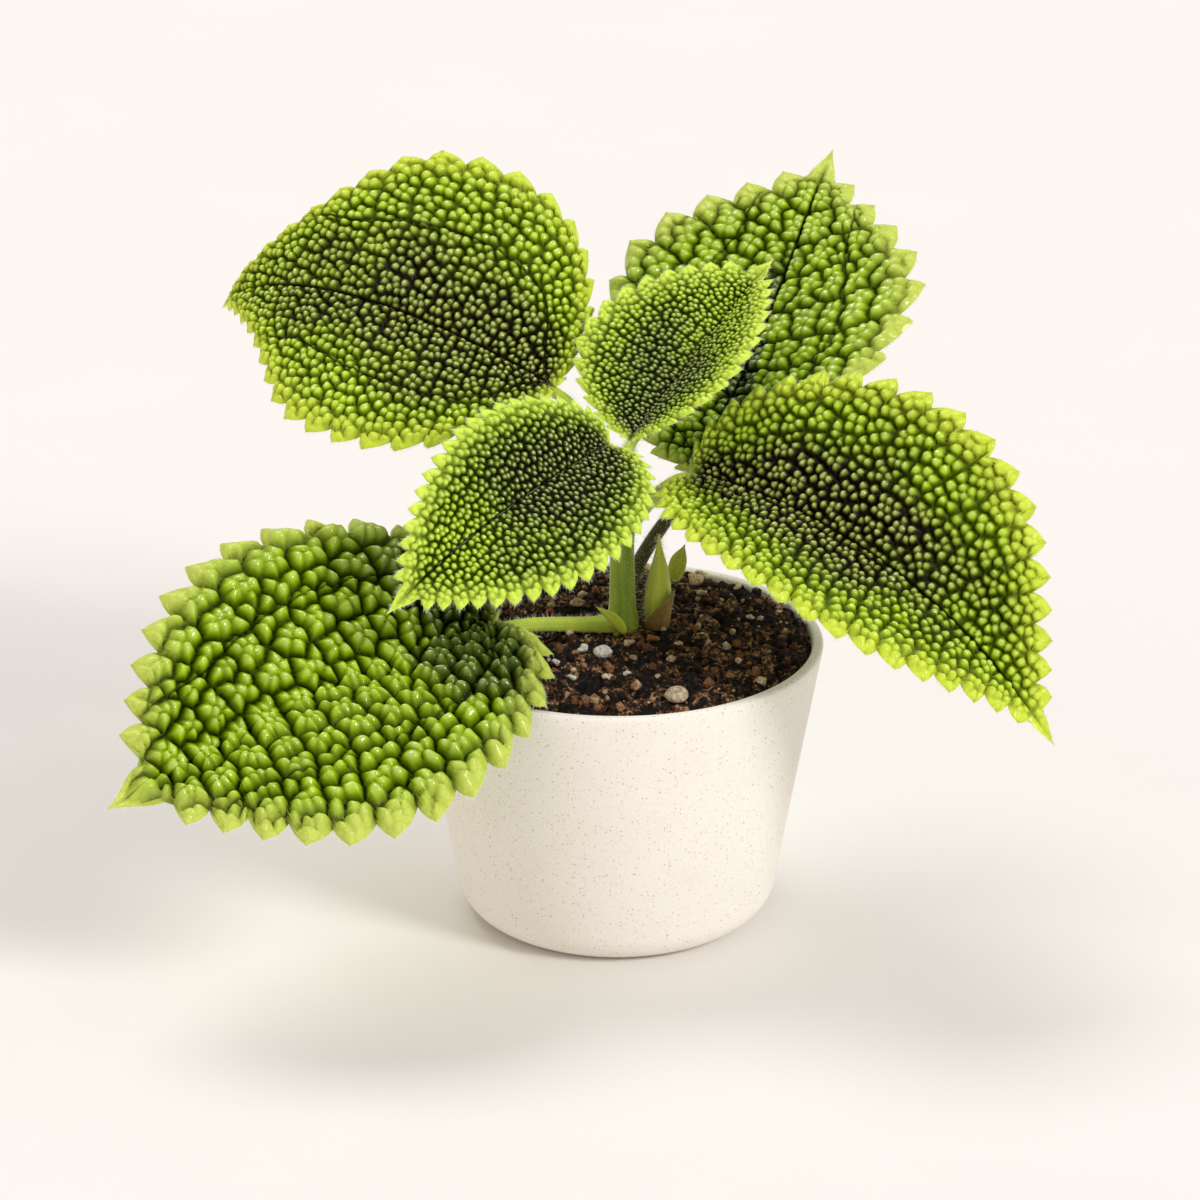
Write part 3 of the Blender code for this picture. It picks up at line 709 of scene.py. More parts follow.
# Stem and petioles, as in the solids: the stem's two ends and radii, its swellings at the nodes,
# and each petiole's node, the direction it leaves in and its radii
stemSpec = dict(
    foot=(0.0011, -0.0038, 0.0535), top=(0.0008, 0.0053, 0.0905), footRadius=0.0027, topRadius=0.0021,
    swelling=0.0005, reach=0.0025, low=0.0600, middle=0.0790, crown=0.0890, rows=90, sides=36)
petioleSpecs = {
    "petiole_back_left": dict(
        leaf="leaf_back_left", node="middle", heading=135, rise=55, foot=0.0015, end=0.0011),
    "petiole_back_right": dict(
        leaf="leaf_back_right", node="low", heading=85, rise=58, foot=0.0015, end=0.0012),
    "petiole_top_back": dict(
        leaf="leaf_top_back", node="crown", heading=60, rise=40, foot=0.0012, end=0.0009),
    "petiole_top_front": dict(
        leaf="leaf_top_front", node="crown", heading=240, rise=40, foot=0.0012, end=0.0009),
    "petiole_right": dict(
        leaf="leaf_right", node="middle", heading=5, rise=40, foot=0.0015, end=0.0011),
    "petiole_front_left": dict(
        leaf="leaf_front_left", node="low", heading=200, rise=2, foot=0.0016, end=0.0013),
}


petioleSpec = dict(
    rows=56, sides=28, handle=0.36, ribStart=0.0005, ribEnd=0.010, ribRows=14, flare=0.35, flareReach=0.0028)


def tubeGrid(path, radii):
    # rings round a path, square to it; radii hold one row for each point and one column a side
    tangent = unit(np.gradient(path, axis=0))
    level = unit(np.cross(path[-1] - path[0], np.array([0.31, 0.94, 0.13])))
    first = unit(level - (tangent * level).sum(axis=1, keepdims=True) * tangent)
    second = np.cross(tangent, first)
    angle = np.linspace(0, 2 * pi, radii.shape[1], endpoint=False)[None, :, None]
    outward = first[:, None] * np.cos(angle) + second[:, None] * np.sin(angle)
    return path[:, None] + outward * radii[..., None], outward


def makeTube(name, path, radii, material, slot, *nodes):
    # a stalk round a path, closed to a point at both ends, with masks along and around it
    points, outward = tubeGrid(path, radii)
    rows, sides = radii.shape
    along = np.broadcast_to(np.linspace(0, 1, rows)[:, None], (rows, sides))
    around = np.broadcast_to(np.linspace(0, 2 * pi, sides, endpoint=False)[None], (rows, sides))
    masks = dict(along=along, aroundX=np.cos(around), aroundY=np.sin(around))
    piece = makeMesh(name, points.reshape(-1, 3), gridFaces(closedRings(rows, sides))[:, ::-1], masks)
    finishPiece(piece, material, slot, *nodes)
    return points, outward


def roundEnds(share, blunt):
    # 0 at both ends, 1 between: a quarter circle over the blunt share at each
    low = np.clip(share / blunt, 0, 1)
    high = np.clip((1 - share) / blunt, 0, 1)
    return np.sqrt(1 - (1 - low) ** 2) * np.sqrt(1 - (1 - high) ** 2)


def stemPoint(height):
    # the stem's middle at a height, on a straight line from foot to top
    foot, top = np.array(stemSpec["foot"]), np.array(stemSpec["top"])
    return foot + (top - foot) * ((height - foot[2]) / (top[2] - foot[2]))[..., None]


def stemRadius(height):
    # taper from foot to top, with a swelling at each node
    share = (height - stemSpec["foot"][2]) / (stemSpec["top"][2] - stemSpec["foot"][2])
    taper = stemSpec["footRadius"] + (stemSpec["topRadius"] - stemSpec["footRadius"]) * share
    swell = sum(bell(height - stemSpec[node], stemSpec["reach"]) for node in ("low", "middle"))
    return taper + stemSpec["swelling"] * swell


def makeStem(material):
    # faintly four-angled, with fine ribs
    heights = np.linspace(stemSpec["foot"][2], stemSpec["top"][2], stemSpec["rows"])
    angle = np.linspace(0, 2 * pi, stemSpec["sides"], endpoint=False)[None]
    share = np.linspace(0, 1, stemSpec["rows"])
    ribs = 1 + 0.02 * np.cos(4 * angle + 3 * share[:, None]) + 0.006 * np.cos(9 * angle)
    radii = (stemRadius(heights) * roundEnds(share, 0.03))[:, None] * ribs
    return makeTube("stemStalk", stemPoint(heights), radii, material, "stalk", "stem")


def direction(heading, rise):
    # a unit vector from its compass angle and its rise above the level, in degrees
    a, b = radians(heading), radians(rise)
    return np.array([cos(b) * cos(a), cos(b) * sin(a), sin(b)])


def makePetiole(name, petiole, material):
    # from inside the stem out to the blade's base, then on under the midrib until the rib takes over
    leaf = leafSpecs[petiole["leaf"]]
    node = np.array(stemSpec[petiole["node"]])
    start = stemPoint(node) + 0.5 * stemRadius(node) * direction(petiole["heading"], 0)
    turn = leafTurn(leaf)
    below = 0.0004 + 0.55 * petiole["end"]
    end = np.array(leaf["base"]) - turn[:, 2] * below
    handle = petioleSpec["handle"] * np.linalg.norm(end - start)
    t = np.linspace(0, 1, petioleSpec["rows"])
    leaving = direction(petiole["heading"], petiole["rise"])
    path = cubic(start, start + handle * leaving, end - handle * turn[:, 0], end, t)
    run = np.linspace(petioleSpec["ribStart"], petioleSpec["ribEnd"], petioleSpec["ribRows"])
    rib = toPlant(leaf, curl(leaf, np.stack([run, 0 * run], axis=1)))
    rib = rib - turn[:, 2] * (below * np.linspace(1, 0.7, len(run)))[:, None]
    path = np.concatenate([path, rib])
    share = np.linspace(0, 1, len(path))
    walked = np.linalg.norm(path - start, axis=1)
    radius = petiole["foot"] + (petiole["end"] - petiole["foot"]) * np.clip(share * 1.25, 0, 1)
    radius = radius * (1 + petioleSpec["flare"] * bell(walked, petioleSpec["flareReach"]))
    radius = radius * (1 - 0.8 * smooth(share, 0.80, 1.0)) * roundEnds(share, 0.03)
    angle = np.linspace(0, 2 * pi, petioleSpec["sides"], endpoint=False)[None]
    ribs = 1 + 0.03 * np.cos(5 * angle) + 0.015 * np.cos(11 * angle)
    return makeTube(name.replace("petiole", "stalk"), path, radius[:, None] * ribs, material, "stalk", name)


def makeStalkMaterial(name, pale, deep, settings):
    # fleshy green with soft lengthwise streaks, paler towards its silhouette as a painted sheen of lit fuzz,
    # and small pale spots
    material, tree, shader = newMaterial(name, settings)
    around = {0: maskNode(tree, "aroundX"), 1: maskNode(tree, "aroundY"), 2: mathNode(
        tree, "MULTIPLY", maskNode(tree, "along"), 0.5)}
    streakPlace = addNode(tree, "ShaderNodeCombineXYZ", around).outputs[0]
    streak = noiseNode(tree, 0.8, 1.5, 0.45, streakPlace)
    place = placeNode(tree)
    spots = fade(tree, noiseNode(tree, 0.0006, 2.0, 0.5, place), 0.62, 0.72)
    # painted sheen: the colour grows paler where the surface turns away, towards the silhouette
    facing = addNode(tree, "ShaderNodeLayerWeight", {"Blend": 0.35}).outputs["Facing"]
    body = fade(tree, streak, 0.25, 0.75, 0.0, 0.55)
    body = mathNode(tree, "ADD", body, fade(tree, facing, 0.25, 0.9, 0.0, 0.75))
    colour = mixColours(tree, body, fromDisplay(*deep), fromDisplay(*pale))
    drift = fade(tree, noiseNode(tree, 0.006, 2.0, 0.5, place), 0.3, 0.7, 0.9, 1.08)
    colour = scaled(tree, colour, drift)
    colour = mixColours(tree, mathNode(tree, "MULTIPLY", spots, 0.3), colour, fromDisplay(206, 214, 150))
    feed(tree, shader, {"Base Color": colour, "Roughness": fade(tree, streak, 0.3, 0.7, 0.38, 0.5)})
    height = mathNode(tree, "ADD", streak, mathNode(tree, "MULTIPLY", spots, 0.4))
    bumpNode(tree, shader, height, 0.00006)
    return material


softSkin = {"Sheen Weight": 0.12, "Sheen Roughness": 0.35, "Specular IOR Level": 0.3}
stemMaterial = makeStalkMaterial("stemSkin", (196, 216, 74), (92, 120, 4), softSkin)
stalkMaterial = makeStalkMaterial("stalkSkin", (238, 248, 120), (172, 200, 26), softSkin)
shootMaterial = makeStalkMaterial("shootSkin", (244, 244, 124), (176, 190, 24), softSkin)
stalks = [makeStem(stemMaterial)]
# the back right petiole's darker stalk: partly a bronze tone, partly painted shade
shadedMaterial = makeStalkMaterial("shadedBronzeStalkSkin", (112, 104, 62), (58, 52, 34), softSkin)
stalks += [
    makePetiole(name, petiole, shadedMaterial if name == "petiole_back_right" else stalkMaterial)
    for name, petiole in petioleSpecs.items()]
print("stalks made:", len(stalks))


# Young growth beside the stem, as in the solids
shootSpec = dict(
    foot=(0.0072, -0.0002, 0.0586), tip=(0.0080, 0.0035, 0.0763), radius=0.0028, keel=250, fold=60)
bractSpec = dict(height=0.0066, thickness=0.0005, reach=105, facing=-20)
scaleSpecs = {
    "shoot_leaflet": dict(
        base=(0.0110, 0.0047, 0.0657), heading=5, pitch=76, roll=65,
        length=0.0078, left=0.0020, right=0.0020, widest=0.45, lobe=0.02, tipWidth=0.5, tipReach=0.4,
        fold=20, cup=20, arch=-8, droop=0, bend=0, twist=0),
    "stipule_low": dict(
        base=(0.0015, -0.0066, 0.0594), heading=191, pitch=52, roll=60,
        length=0.0088, left=0.0015, right=0.0015, widest=0.35, lobe=0.02, tipWidth=0.5, tipReach=0.4,
        fold=25, cup=25, arch=-10, droop=-10, bend=0, twist=0),
    "stipule_top": dict(
        base=(-0.0028, 0.0066, 0.0929), heading=150, pitch=50, roll=0,
        length=0.0050, left=0.0014, right=0.0014, widest=0.35, lobe=0.02, tipWidth=0.5, tipReach=0.4,
        fold=20, cup=20, arch=-10, droop=0, bend=0, twist=0),
}


def makeShoot(material):
    # a folded young leaf: a spindle pointed at the tip, with a keel, the fold's groove and side ribs
    t = np.linspace(0, 1, 64)
    foot, tip = np.array(shootSpec["foot"]), np.array(shootSpec["tip"])
    swell = 0.62 + 0.38 * np.sin(pi * np.minimum(t / 0.85, 1))
    radius = shootSpec["radius"] * swell * (1 - t ** 2.2) * roundEnds(t, 0.02)
    angle = np.linspace(0, 2 * pi, 36, endpoint=False)[None]
    offKeel = np.abs((angle + pi - radians(shootSpec["keel"])) % (2 * pi) - pi)
    offFold = np.abs((angle + pi - radians(shootSpec["fold"])) % (2 * pi) - pi)
    ribs = 1 + 0.14 * bell(offKeel, 0.35) - 0.2 * bell(offFold, 0.22)
    ribs = ribs + 0.015 * np.cos(7 * angle)
    path = foot + (tip - foot) * t[:, None]
    path[:, 0] += 0.0004 * np.sin(pi * t)
    return makeTube("youngShoot", path, radius[:, None] * ribs, material, "stalk", "shoot")


def makeBract(material):
    # a thin scale wrapped round the shoot's foot: its height falls as a cosine to both sides
    rows, columns = 48, 20
    reach = radians(bractSpec["reach"])
    angle = np.linspace(reach, -reach, rows)[:, None]
    share = np.linspace(0, 1, columns + 1)[None]
    height = bractSpec["height"] * np.cos(angle * pi / 2 / reach) ** 0.55
    height = height * (1 + 0.18 * bell(angle, 0.25))
    wave = 1 + 0.03 * np.cos(9 * angle) * share
    radius = (shootSpec["radius"] * (0.74 + 0.36 * share ** 1.5) + 0.0009) * wave
    heading = radians(bractSpec["facing"]) + angle
    place = polar(radius, heading, height * share) + np.array(shootSpec["foot"])
    outward = np.stack([np.cos(heading), np.sin(heading), 0 * heading], axis=-1) + 0 * place
    inside = place - outward * bractSpec["thickness"]
    masks = dict(
        along=np.broadcast_to(share, radius.shape), aroundX=np.cos(angle) + 0 * radius,
        aroundY=np.sin(angle) + 0 * radius)
    sheet = closedSheet(place, inside[:, 1:-1], masks, np.arange(1, columns))
    return finishPiece(makeMesh("shootScale", *sheet), material, "bract", "shoot_bract")


def makeScale(name, leaf, material):
    # a small plain blade, keeled under its midrib and thinning to its margins
    rows, half = 30, 9
    t = np.linspace(0, 1, rows)[:, None]
    v = np.linspace(0, 1, half + 1)[None]
    sides = []
    for side in (1, -1):
        flat = onHalf(leaf, leaf["left"], t + 0 * v, v + 0 * t)[0]
        flat[..., 1] *= side
        sides.append(flat)
    flat = joinHalves(*sides)
    base = toPlant(leaf, curl(leaf, flat))
    normals = gridNormals(base)
    edge = np.abs(np.linspace(-1, 1, 2 * half + 1))[None]
    body = (1 - edge ** 2) * np.sin(pi * t) ** 0.5
    top = base + normals * (0.00012 * body * np.cos(14 * edge))[..., None]
    under = base - normals * (0.0006 * body)[..., None]
    masks = dict(along=t + 0 * edge, aroundX=edge + 0 * t, aroundY=0.5 * edge + 0 * t)
    sheet = closedSheet(top, under[:, 1:-1], masks, np.arange(1, 2 * half))
    piece = makeMesh(name.replace("_", "") + "Scale", *sheet)
    finishPiece(piece, material, "stalk", name)
    return top, normals


bractMaterial = makeStalkMaterial("bractSkin", (176, 150, 84), (112, 78, 40), softSkin)
stalks.append(makeShoot(shootMaterial))
makeBract(bractMaterial)
scaleGrids = [makeScale(name, leaf, shootMaterial) for name, leaf in scaleSpecs.items()]
print("young growth made")


# Pot: its height and rim come from the frame
potLow, potHigh = nodeBox("pot")
potSpec = dict(
    height=potHigh[2] - potLow[2], rim=0.5 * (potHigh[0] - potLow[0]), base=0.0298, wall=0.0021,
    floor=0.004, corner=0.0075, lip=0.0008, sides=176, gap=0.0003)
wallSlope = np.arctan((potSpec["rim"] - potSpec["base"]) / potSpec["height"])


def wallRadius(height, inset=0.0):
    # radius of the straight outer wall at a height, less an inset square to the wall
    return potSpec["base"] + height * tan(wallSlope) - inset / cos(wallSlope)


def arc(centre, radius, start, end, count):
    # points of a circle from one angle to another
    angle = np.linspace(start, end, count)
    return np.stack([centre[0] + radius * np.cos(angle), centre[1] + radius * np.sin(angle)], axis=1)


def straight(first, last, count):
    # even points between two ends, without the ends
    return first + (np.array(last) - first) * np.linspace(0, 1, count + 2)[1:-1, None]


def potCorner(radius, floor, inset, count):
    # fillet between a wall set in by an inset and a floor, from the wall down
    height = floor + radius
    return arc((wallRadius(height, inset + radius), height), radius, -wallSlope, -pi / 2, count)


def turnProfile(profile, sides):
    # a profile of radius and height turned about the pot's axis; its two ends are on the axis
    angle = np.linspace(0, 2 * pi, sides, endpoint=False)[None]
    return polar(profile[:, :1], angle, profile[:, 1:]), closedRings(len(profile), sides)


def makePot(material):
    # inner floor, inner wall, rounded lip, outer wall, rounded foot and flat base, a little uneven
    top = potSpec["height"] - potSpec["lip"]
    inner = potCorner(potSpec["corner"] - potSpec["wall"], potSpec["floor"], potSpec["wall"], 9)[::-1]
    lipIn = arc((wallRadius(top, potSpec["wall"] - potSpec["lip"]), top), potSpec["lip"], pi, pi / 2, 6)
    lipOut = arc((wallRadius(top, potSpec["lip"]), top), potSpec["lip"], pi / 2, 0, 6)
    outer = potCorner(potSpec["corner"], 0.0, 0.0, 14)
    middleIn = np.array([0.0, potSpec["floor"]])
    middleOut = np.array([0.0, 0.0])
    profile = np.concatenate([
        middleIn[None], straight(middleIn, inner[0], 4), inner, straight(inner[-1], lipIn[0], 8), lipIn,
        lipOut, straight(lipOut[-1], outer[0], 26), outer, straight(outer[-1], middleOut, 6),
        middleOut[None]])
    points, index = turnProfile(profile, potSpec["sides"])
    angle = np.arctan2(points[..., 1], points[..., 0])
    level = smooth(points[..., 2], 0.003, 0.012) * (1 - smooth(points[..., 2], 0.050, 0.055))
    uneven = np.cos(3 * angle + 90 * points[..., 2]) + 0.6 * np.cos(5 * angle - 170 * points[..., 2] + 1)
    points[..., :2] *= (1 + 0.0012 * level * uneven)[..., None]
    piece = makeMesh("turnedPot", points.reshape(-1, 3), gridFaces(index))
    return finishPiece(piece, material, "pot", "pot")


def makePotMaterial():
    # matte cast cream: cloudy tone, fine tan and brown specks, and a fine sandy grain
    material, tree, shader = newMaterial("castCream", {"Specular IOR Level": 0.3})
    place = placeNode(tree)
    cloud = noiseNode(tree, 0.014, 4.0, 0.6, place)
    sand = noiseNode(tree, 0.00045, 3.0, 0.7, place)
    stops = [(0.30, (250, 243, 233)), (0.52, (251, 245, 236)), (0.72, (252, 246, 238))]
    colour = rampNode(tree, cloud, stops)
    colour = scaled(tree, colour, fade(tree, sand, 0.25, 0.75, 0.96, 1.02))
    for size, low, high, share, tint in (
            (0.0006, 0.18, 0.30, 0.35, (196, 168, 142)), (0.0010, 0.14, 0.20, 0.5, (176, 132, 104)),
            (0.0020, 0.09, 0.12, 0.5, (140, 118, 102))):
        specks = addNode(tree, "ShaderNodeTexVoronoi", {"Vector": place, "Scale": 1 / size})
        speck = fade(tree, specks.outputs["Distance"], low, high, share, 0.0)
        channels = addNode(tree, "ShaderNodeSeparateColor", {0: specks.outputs["Color"]})
        some = fade(tree, channels.outputs[0], 0.45, 0.55)
        colour = mixColours(tree, mathNode(tree, "MULTIPLY", speck, some), colour, fromDisplay(*tint))
    feed(tree, shader, {"Base Color": colour, "Roughness": fade(tree, sand, 0.3, 0.7, 0.68, 0.85)})
    bumpNode(tree, shader, sand, 0.00004)
    return material


makePot(makePotMaterial())
print("pot made")


# Soil: crumbs of many sizes pressed into a low mound, with loose crumbs and fibres on it
soilSpec = dict(
    mound=0.0030, grid=166, lumps=2600, smallest=0.00045, largest=0.0031, pit=0.0014,
    rough=((0.0011, 3), (0.0005, 4)), pressed=0.9, crumbs=700, crumbLeast=0.00022, crumbMore=0.0010,
    fibres=46, seed=5)
soilSpec["edge"] = nodeBox("soil")[1][2] - soilSpec["mound"]
soilSpec["radius"] = wallRadius(soilSpec["edge"], potSpec["wall"] + potSpec["gap"])
gritNodes = ["pebble"] + [f"perlite_{i}" for i in range(1, 16)]


def makeLumps():
    # centres, radii and tones of the pressed crumbs: few large, many small
    draws = np.random.default_rng(soilSpec["seed"])
    count = soilSpec["lumps"]
    variety = soilSpec["largest"] - soilSpec["smallest"]
    radius = soilSpec["smallest"] + variety * draws.uniform(0, 1, count) ** 2.8
    reach = (soilSpec["radius"] - 0.4 * radius) * np.sqrt(draws.uniform(0, 1, count))
    angle = draws.uniform(0, 2 * pi, count)
    lift = -0.52 * radius + draws.uniform(-0.0004, 0.0003, count)
    tone = draws.uniform(0, 1, count)
    return np.stack([reach * np.cos(angle), reach * np.sin(angle), lift, radius, tone], axis=1)


def soilSurface(x, y, lumps):
    # mound, plus the highest crumb at each point: its lift + sqrt(r^2 - d^2), or the pit's depth;
    # with that crumb's tone
    base = soilSpec["edge"] + soilSpec["mound"] * (1 - (x * x + y * y) / soilSpec["radius"] ** 2)
    shape = x.shape
    height, tone = np.zeros(x.size), np.zeros(x.size)
    points = np.stack([x.ravel(), y.ravel()], axis=1)
    for part in np.array_split(np.arange(x.size), max(1, x.size // 250)):
        here = points[part]
        middle = here.mean(axis=0)
        spread = np.max(np.linalg.norm(here - middle, axis=1)) + soilSpec["largest"]
        near = lumps[np.linalg.norm(lumps[:, :2] - middle, axis=1) < spread]
        square = ((here[:, None] - near[None, :, :2]) ** 2).sum(axis=2)
        inside = near[None, :, 3] ** 2 - square
        rise = np.where(inside > 0, near[None, :, 2] + np.sqrt(np.maximum(inside, 0)), -soilSpec["pit"])
        best = rise.argmax(axis=1)
        height[part] = rise[np.arange(len(here)), best]
        tone[part] = near[best, 4]
    height = height.reshape(shape)
    for size, seed in soilSpec["rough"]:
        height = height + size * (patches(x, y, size, seed) - 0.5)
    height = height * soilSpec["pressed"]
    for node in gritNodes:
        low, high = nodeBox(node)
        centre = 0.5 * (low + high)
        away = np.hypot(x - centre[0], y - centre[1]) / (high[0] - low[0])
        bed = low[2] - base + 0.0002
        height = height + (np.minimum(height, bed) - height) * np.exp(-away ** 4 * 6)
    return base + height, tone.reshape(shape)


def discGrid(count):
    # a square grid laid on the unit disc: each square ring becomes a circle
    u, v = np.meshgrid(np.linspace(-1, 1, count), np.linspace(-1, 1, count), indexing="ij")
    wide = np.abs(u) >= np.abs(v)
    radius, other = np.where(wide, u, v), np.where(wide, v, u)
    angle = 0.25 * pi * other / np.where(radius == 0, 1, radius)
    return (np.where(wide, radius * np.cos(angle), radius * np.sin(angle)),
            np.where(wide, radius * np.sin(angle), radius * np.cos(angle)))


def makeSoil(material, lumps):
    # the crumbled top on a plain closed plug that fills the pot
    x, y = discGrid(soilSpec["grid"])
    x, y = x * soilSpec["radius"], y * soilSpec["radius"]
    height, tone = soilSurface(x, y, lumps)
    top = np.stack([x, y, height], axis=-1).reshape(-1, 3)
    index = np.arange(len(top)).reshape(x.shape)
    loop = np.concatenate([index[:-1, 0], index[-1, :-1], index[:0:-1, -1], index[0, :0:-1]])
    inset = potSpec["wall"] + potSpec["gap"]
    floor = potSpec["floor"] + potSpec["gap"]
    corner = potCorner(potSpec["corner"] - inset, floor, inset, 5)
    first = np.array([soilSpec["radius"], soilSpec["edge"] - 0.001])
    profile = np.concatenate([straight(first, corner[0], 4), corner, [[0.0, floor]]])
    heading = np.arctan2(top[loop, 1], top[loop, 0])[None]
    side = polar(profile[:, :1], heading, profile[:, 1:])
    sideIndex = len(top) + np.arange(side[..., 0].size).reshape(side.shape[:2])
    sideIndex[-1] = sideIndex[-1, 0]
    sideIndex = np.concatenate([loop[None], sideIndex])
    sideIndex = np.concatenate([sideIndex, sideIndex[:, :1]], axis=1)
    points = np.concatenate([top, side.reshape(-1, 3)])
    faces = np.concatenate([gridFaces(index), gridFaces(sideIndex)])
    masks = dict(tone=np.concatenate([tone.ravel(), np.full(side[..., 0].size, 0.3)]))
    piece = makeMesh("soilBed", points, faces, masks)
    return finishPiece(piece, material, "soil", "soil")


def ball(level):
    # vertices and faces of a unit icosphere
    mesh = bpy.data.meshes.new("ball")
    builder = bmesh.new()
    bmesh.ops.create_icosphere(builder, subdivisions=level, radius=1.0)
    builder.to_mesh(mesh)
    builder.free()
    points = np.zeros(3 * len(mesh.vertices))
    faces = np.zeros(3 * len(mesh.polygons), dtype=int)
    mesh.vertices.foreach_get("co", points)
    mesh.polygons.foreach_get("vertices", faces)
    bpy.data.meshes.remove(mesh)
    return points.reshape(-1, 3), faces.reshape(-1, 3)


def makeCrumbs(material, lumps):
    # loose crumbs: twenty-sided balls with shaken corners, half sunk in the bed
    draws = np.random.default_rng(soilSpec["seed"] + 1)
    corners, faces = ball(1)
    count = soilSpec["crumbs"]
    radius = soilSpec["crumbLeast"] + soilSpec["crumbMore"] * draws.uniform(0, 1, count) ** 2.5
    reach = (soilSpec["radius"] - 1.3 * radius - 0.0003) * np.sqrt(draws.uniform(0, 1, count))
    angle = draws.uniform(0, 2 * pi, count)
    x, y = reach * np.cos(angle), reach * np.sin(angle)
    height = soilSurface(x, y, lumps)[0]
    shape = corners[None] * draws.uniform(0.72, 1.28, (count, len(corners), 1))
    shape = shape * radius[:, None, None] * draws.uniform(0.75, 1.2, (count, 1, 3))
    points = shape + np.stack([x, y, height + 0.25 * radius], axis=1)[:, None]
    allFaces = faces[None] + len(corners) * np.arange(count)[:, None, None]
    tone = np.repeat(draws.uniform(0, 1, count) ** 0.8, len(corners))
    piece = makeMesh("soilCrumbs", points.reshape(-1, 3), allFaces.reshape(-1, 3), dict(tone=tone), True)
    return finishPiece(piece, material, "soil")


def makeFibres(material, lumps):
    # short bent threads of bark lying on the bed: four-sided tubes that taper to both ends
    draws = np.random.default_rng(soilSpec["seed"] + 2)
    rows, sides = 8, 4
    allPoints, allFaces, tones = [], [], []
    faces = gridFaces(closedRings(rows, sides))[:, ::-1]
    for i in range(soilSpec["fibres"]):
        reach = (soilSpec["radius"] - 0.004) * np.sqrt(draws.uniform())
        angle, heading, bend = draws.uniform(0, 2 * pi), draws.uniform(0, 2 * pi), draws.uniform(-0.8, 0.8)
        s = np.linspace(-0.5, 0.5, rows) * draws.uniform(0.0018, 0.0048)
        turn = heading + bend * np.linspace(-1, 1, rows)
        x = reach * cos(angle) + s * np.cos(turn)
        y = reach * sin(angle) + s * np.sin(turn)
        level = soilSurface(x, y, lumps)[0]
        level = 0.5 * level + 0.5 * level.mean() + 0.00025
        thick = draws.uniform(0.00009, 0.0002) * np.sin(pi * np.linspace(0, 1, rows)) ** 0.5
        radii = np.broadcast_to(thick[:, None], (rows, sides))
        allPoints.append(tubeGrid(np.stack([x, y, level], axis=1), radii)[0].reshape(-1, 3))
        allFaces.append(faces + i * rows * sides)
        tones.append(np.full(rows * sides, draws.uniform(0.5, 1)))
    piece = makeMesh(
        "soilFibres", np.concatenate(allPoints), np.concatenate(allFaces), dict(tone=np.concatenate(tones)))
    return finishPiece(piece, material, "soil")


def makeSoilMaterial(name, mix, stops):
    # peat: each crumb its own brown, flecked finely darker and paler
    material, tree, shader = newMaterial(name, {"Specular IOR Level": 0.25})
    place = placeNode(tree)
    fleck = noiseNode(tree, 0.0005, 4.0, 0.7, place)
    blotch = fade(tree, noiseNode(tree, 0.0011, 4.0, 0.7, place), 0.3, 0.7)
    share = mathNode(tree, "ADD", mathNode(tree, "MULTIPLY", maskNode(tree, "tone"), 1 - mix), mathNode(
        tree, "MULTIPLY", blotch, mix))
    colour = rampNode(tree, share, stops)
    colour = scaled(tree, colour, fade(tree, fleck, 0.3, 0.7, 0.5, 1.5))
    feed(tree, shader, {"Base Color": colour, "Roughness": fade(tree, fleck, 0.3, 0.7, 0.95, 0.75)})
    bumpNode(tree, shader, fleck, 0.0003)
    return material


bedMaterial = makeSoilMaterial("peatBed", 0.6, [
    (0.0, (5, 3, 2)), (0.42, (16, 11, 8)), (0.56, (52, 33, 22)), (0.68, (100, 66, 43)),
    (0.82, (176, 134, 96))])
crumbMaterial = makeSoilMaterial("peatCrumbs", 0.15, [
    (0.0, (14, 10, 7)), (0.35, (38, 26, 18)), (0.55, (96, 61, 37)), (0.74, (148, 103, 64)),
    (0.9, (228, 206, 172))])
soilLumps = makeLumps()
makeSoil(bedMaterial, soilLumps)
makeCrumbs(crumbMaterial, soilLumps)
makeFibres(crumbMaterial, soilLumps)
print("soil made")


def makeGrain(name, node, level, knobs, roughness, material, seed):
    # a ball with knobs, r = 1 + sum of a * max(0, direction . knob - 0.5)^2, fitted to the node's box
    draws = np.random.default_rng(seed)
    points, faces = ball(level)
    centres = unit(draws.normal(size=(knobs, 3)))
    heights = draws.uniform(-0.6, 1.0, knobs) * roughness
    facing = np.maximum(points @ centres.T - 0.55, 0)
    points = points * (1 + (facing ** 2 * heights * 4).sum(axis=1))[:, None]
    low, high = nodeBox(node)
    points = (points - points.min(axis=0)) / (points.max(axis=0) - points.min(axis=0))
    points = low + points * (high - low)
    return finishPiece(makeMesh(name, points, faces), material, "grit", node)


# Stones: three display colours from dark to pale, the size of the mottling, its relief and the shine
stoneSpecs = {
    "sandPebble": dict(
        colours=((128, 108, 84), (176, 158, 130), (204, 190, 162)), size=0.0006, depth=0.0002, shine=0.4),
    "paleGrit": dict(
        colours=((168, 158, 144), (222, 214, 200), (242, 238, 228)), size=0.0005, depth=0.0003, shine=0.3),
    "tanGrit": dict(
        colours=((150, 116, 84), (206, 176, 142), (232, 212, 182)), size=0.0005, depth=0.0003, shine=0.3),
    "barkGold": dict(
        colours=((104, 62, 30), (164, 104, 46), (204, 146, 74)), size=0.0006, depth=0.0003, shine=0.3),
    "barkRed": dict(
        colours=((84, 40, 26), (140, 70, 42), (176, 100, 62)), size=0.0006, depth=0.0003, shine=0.3),
}


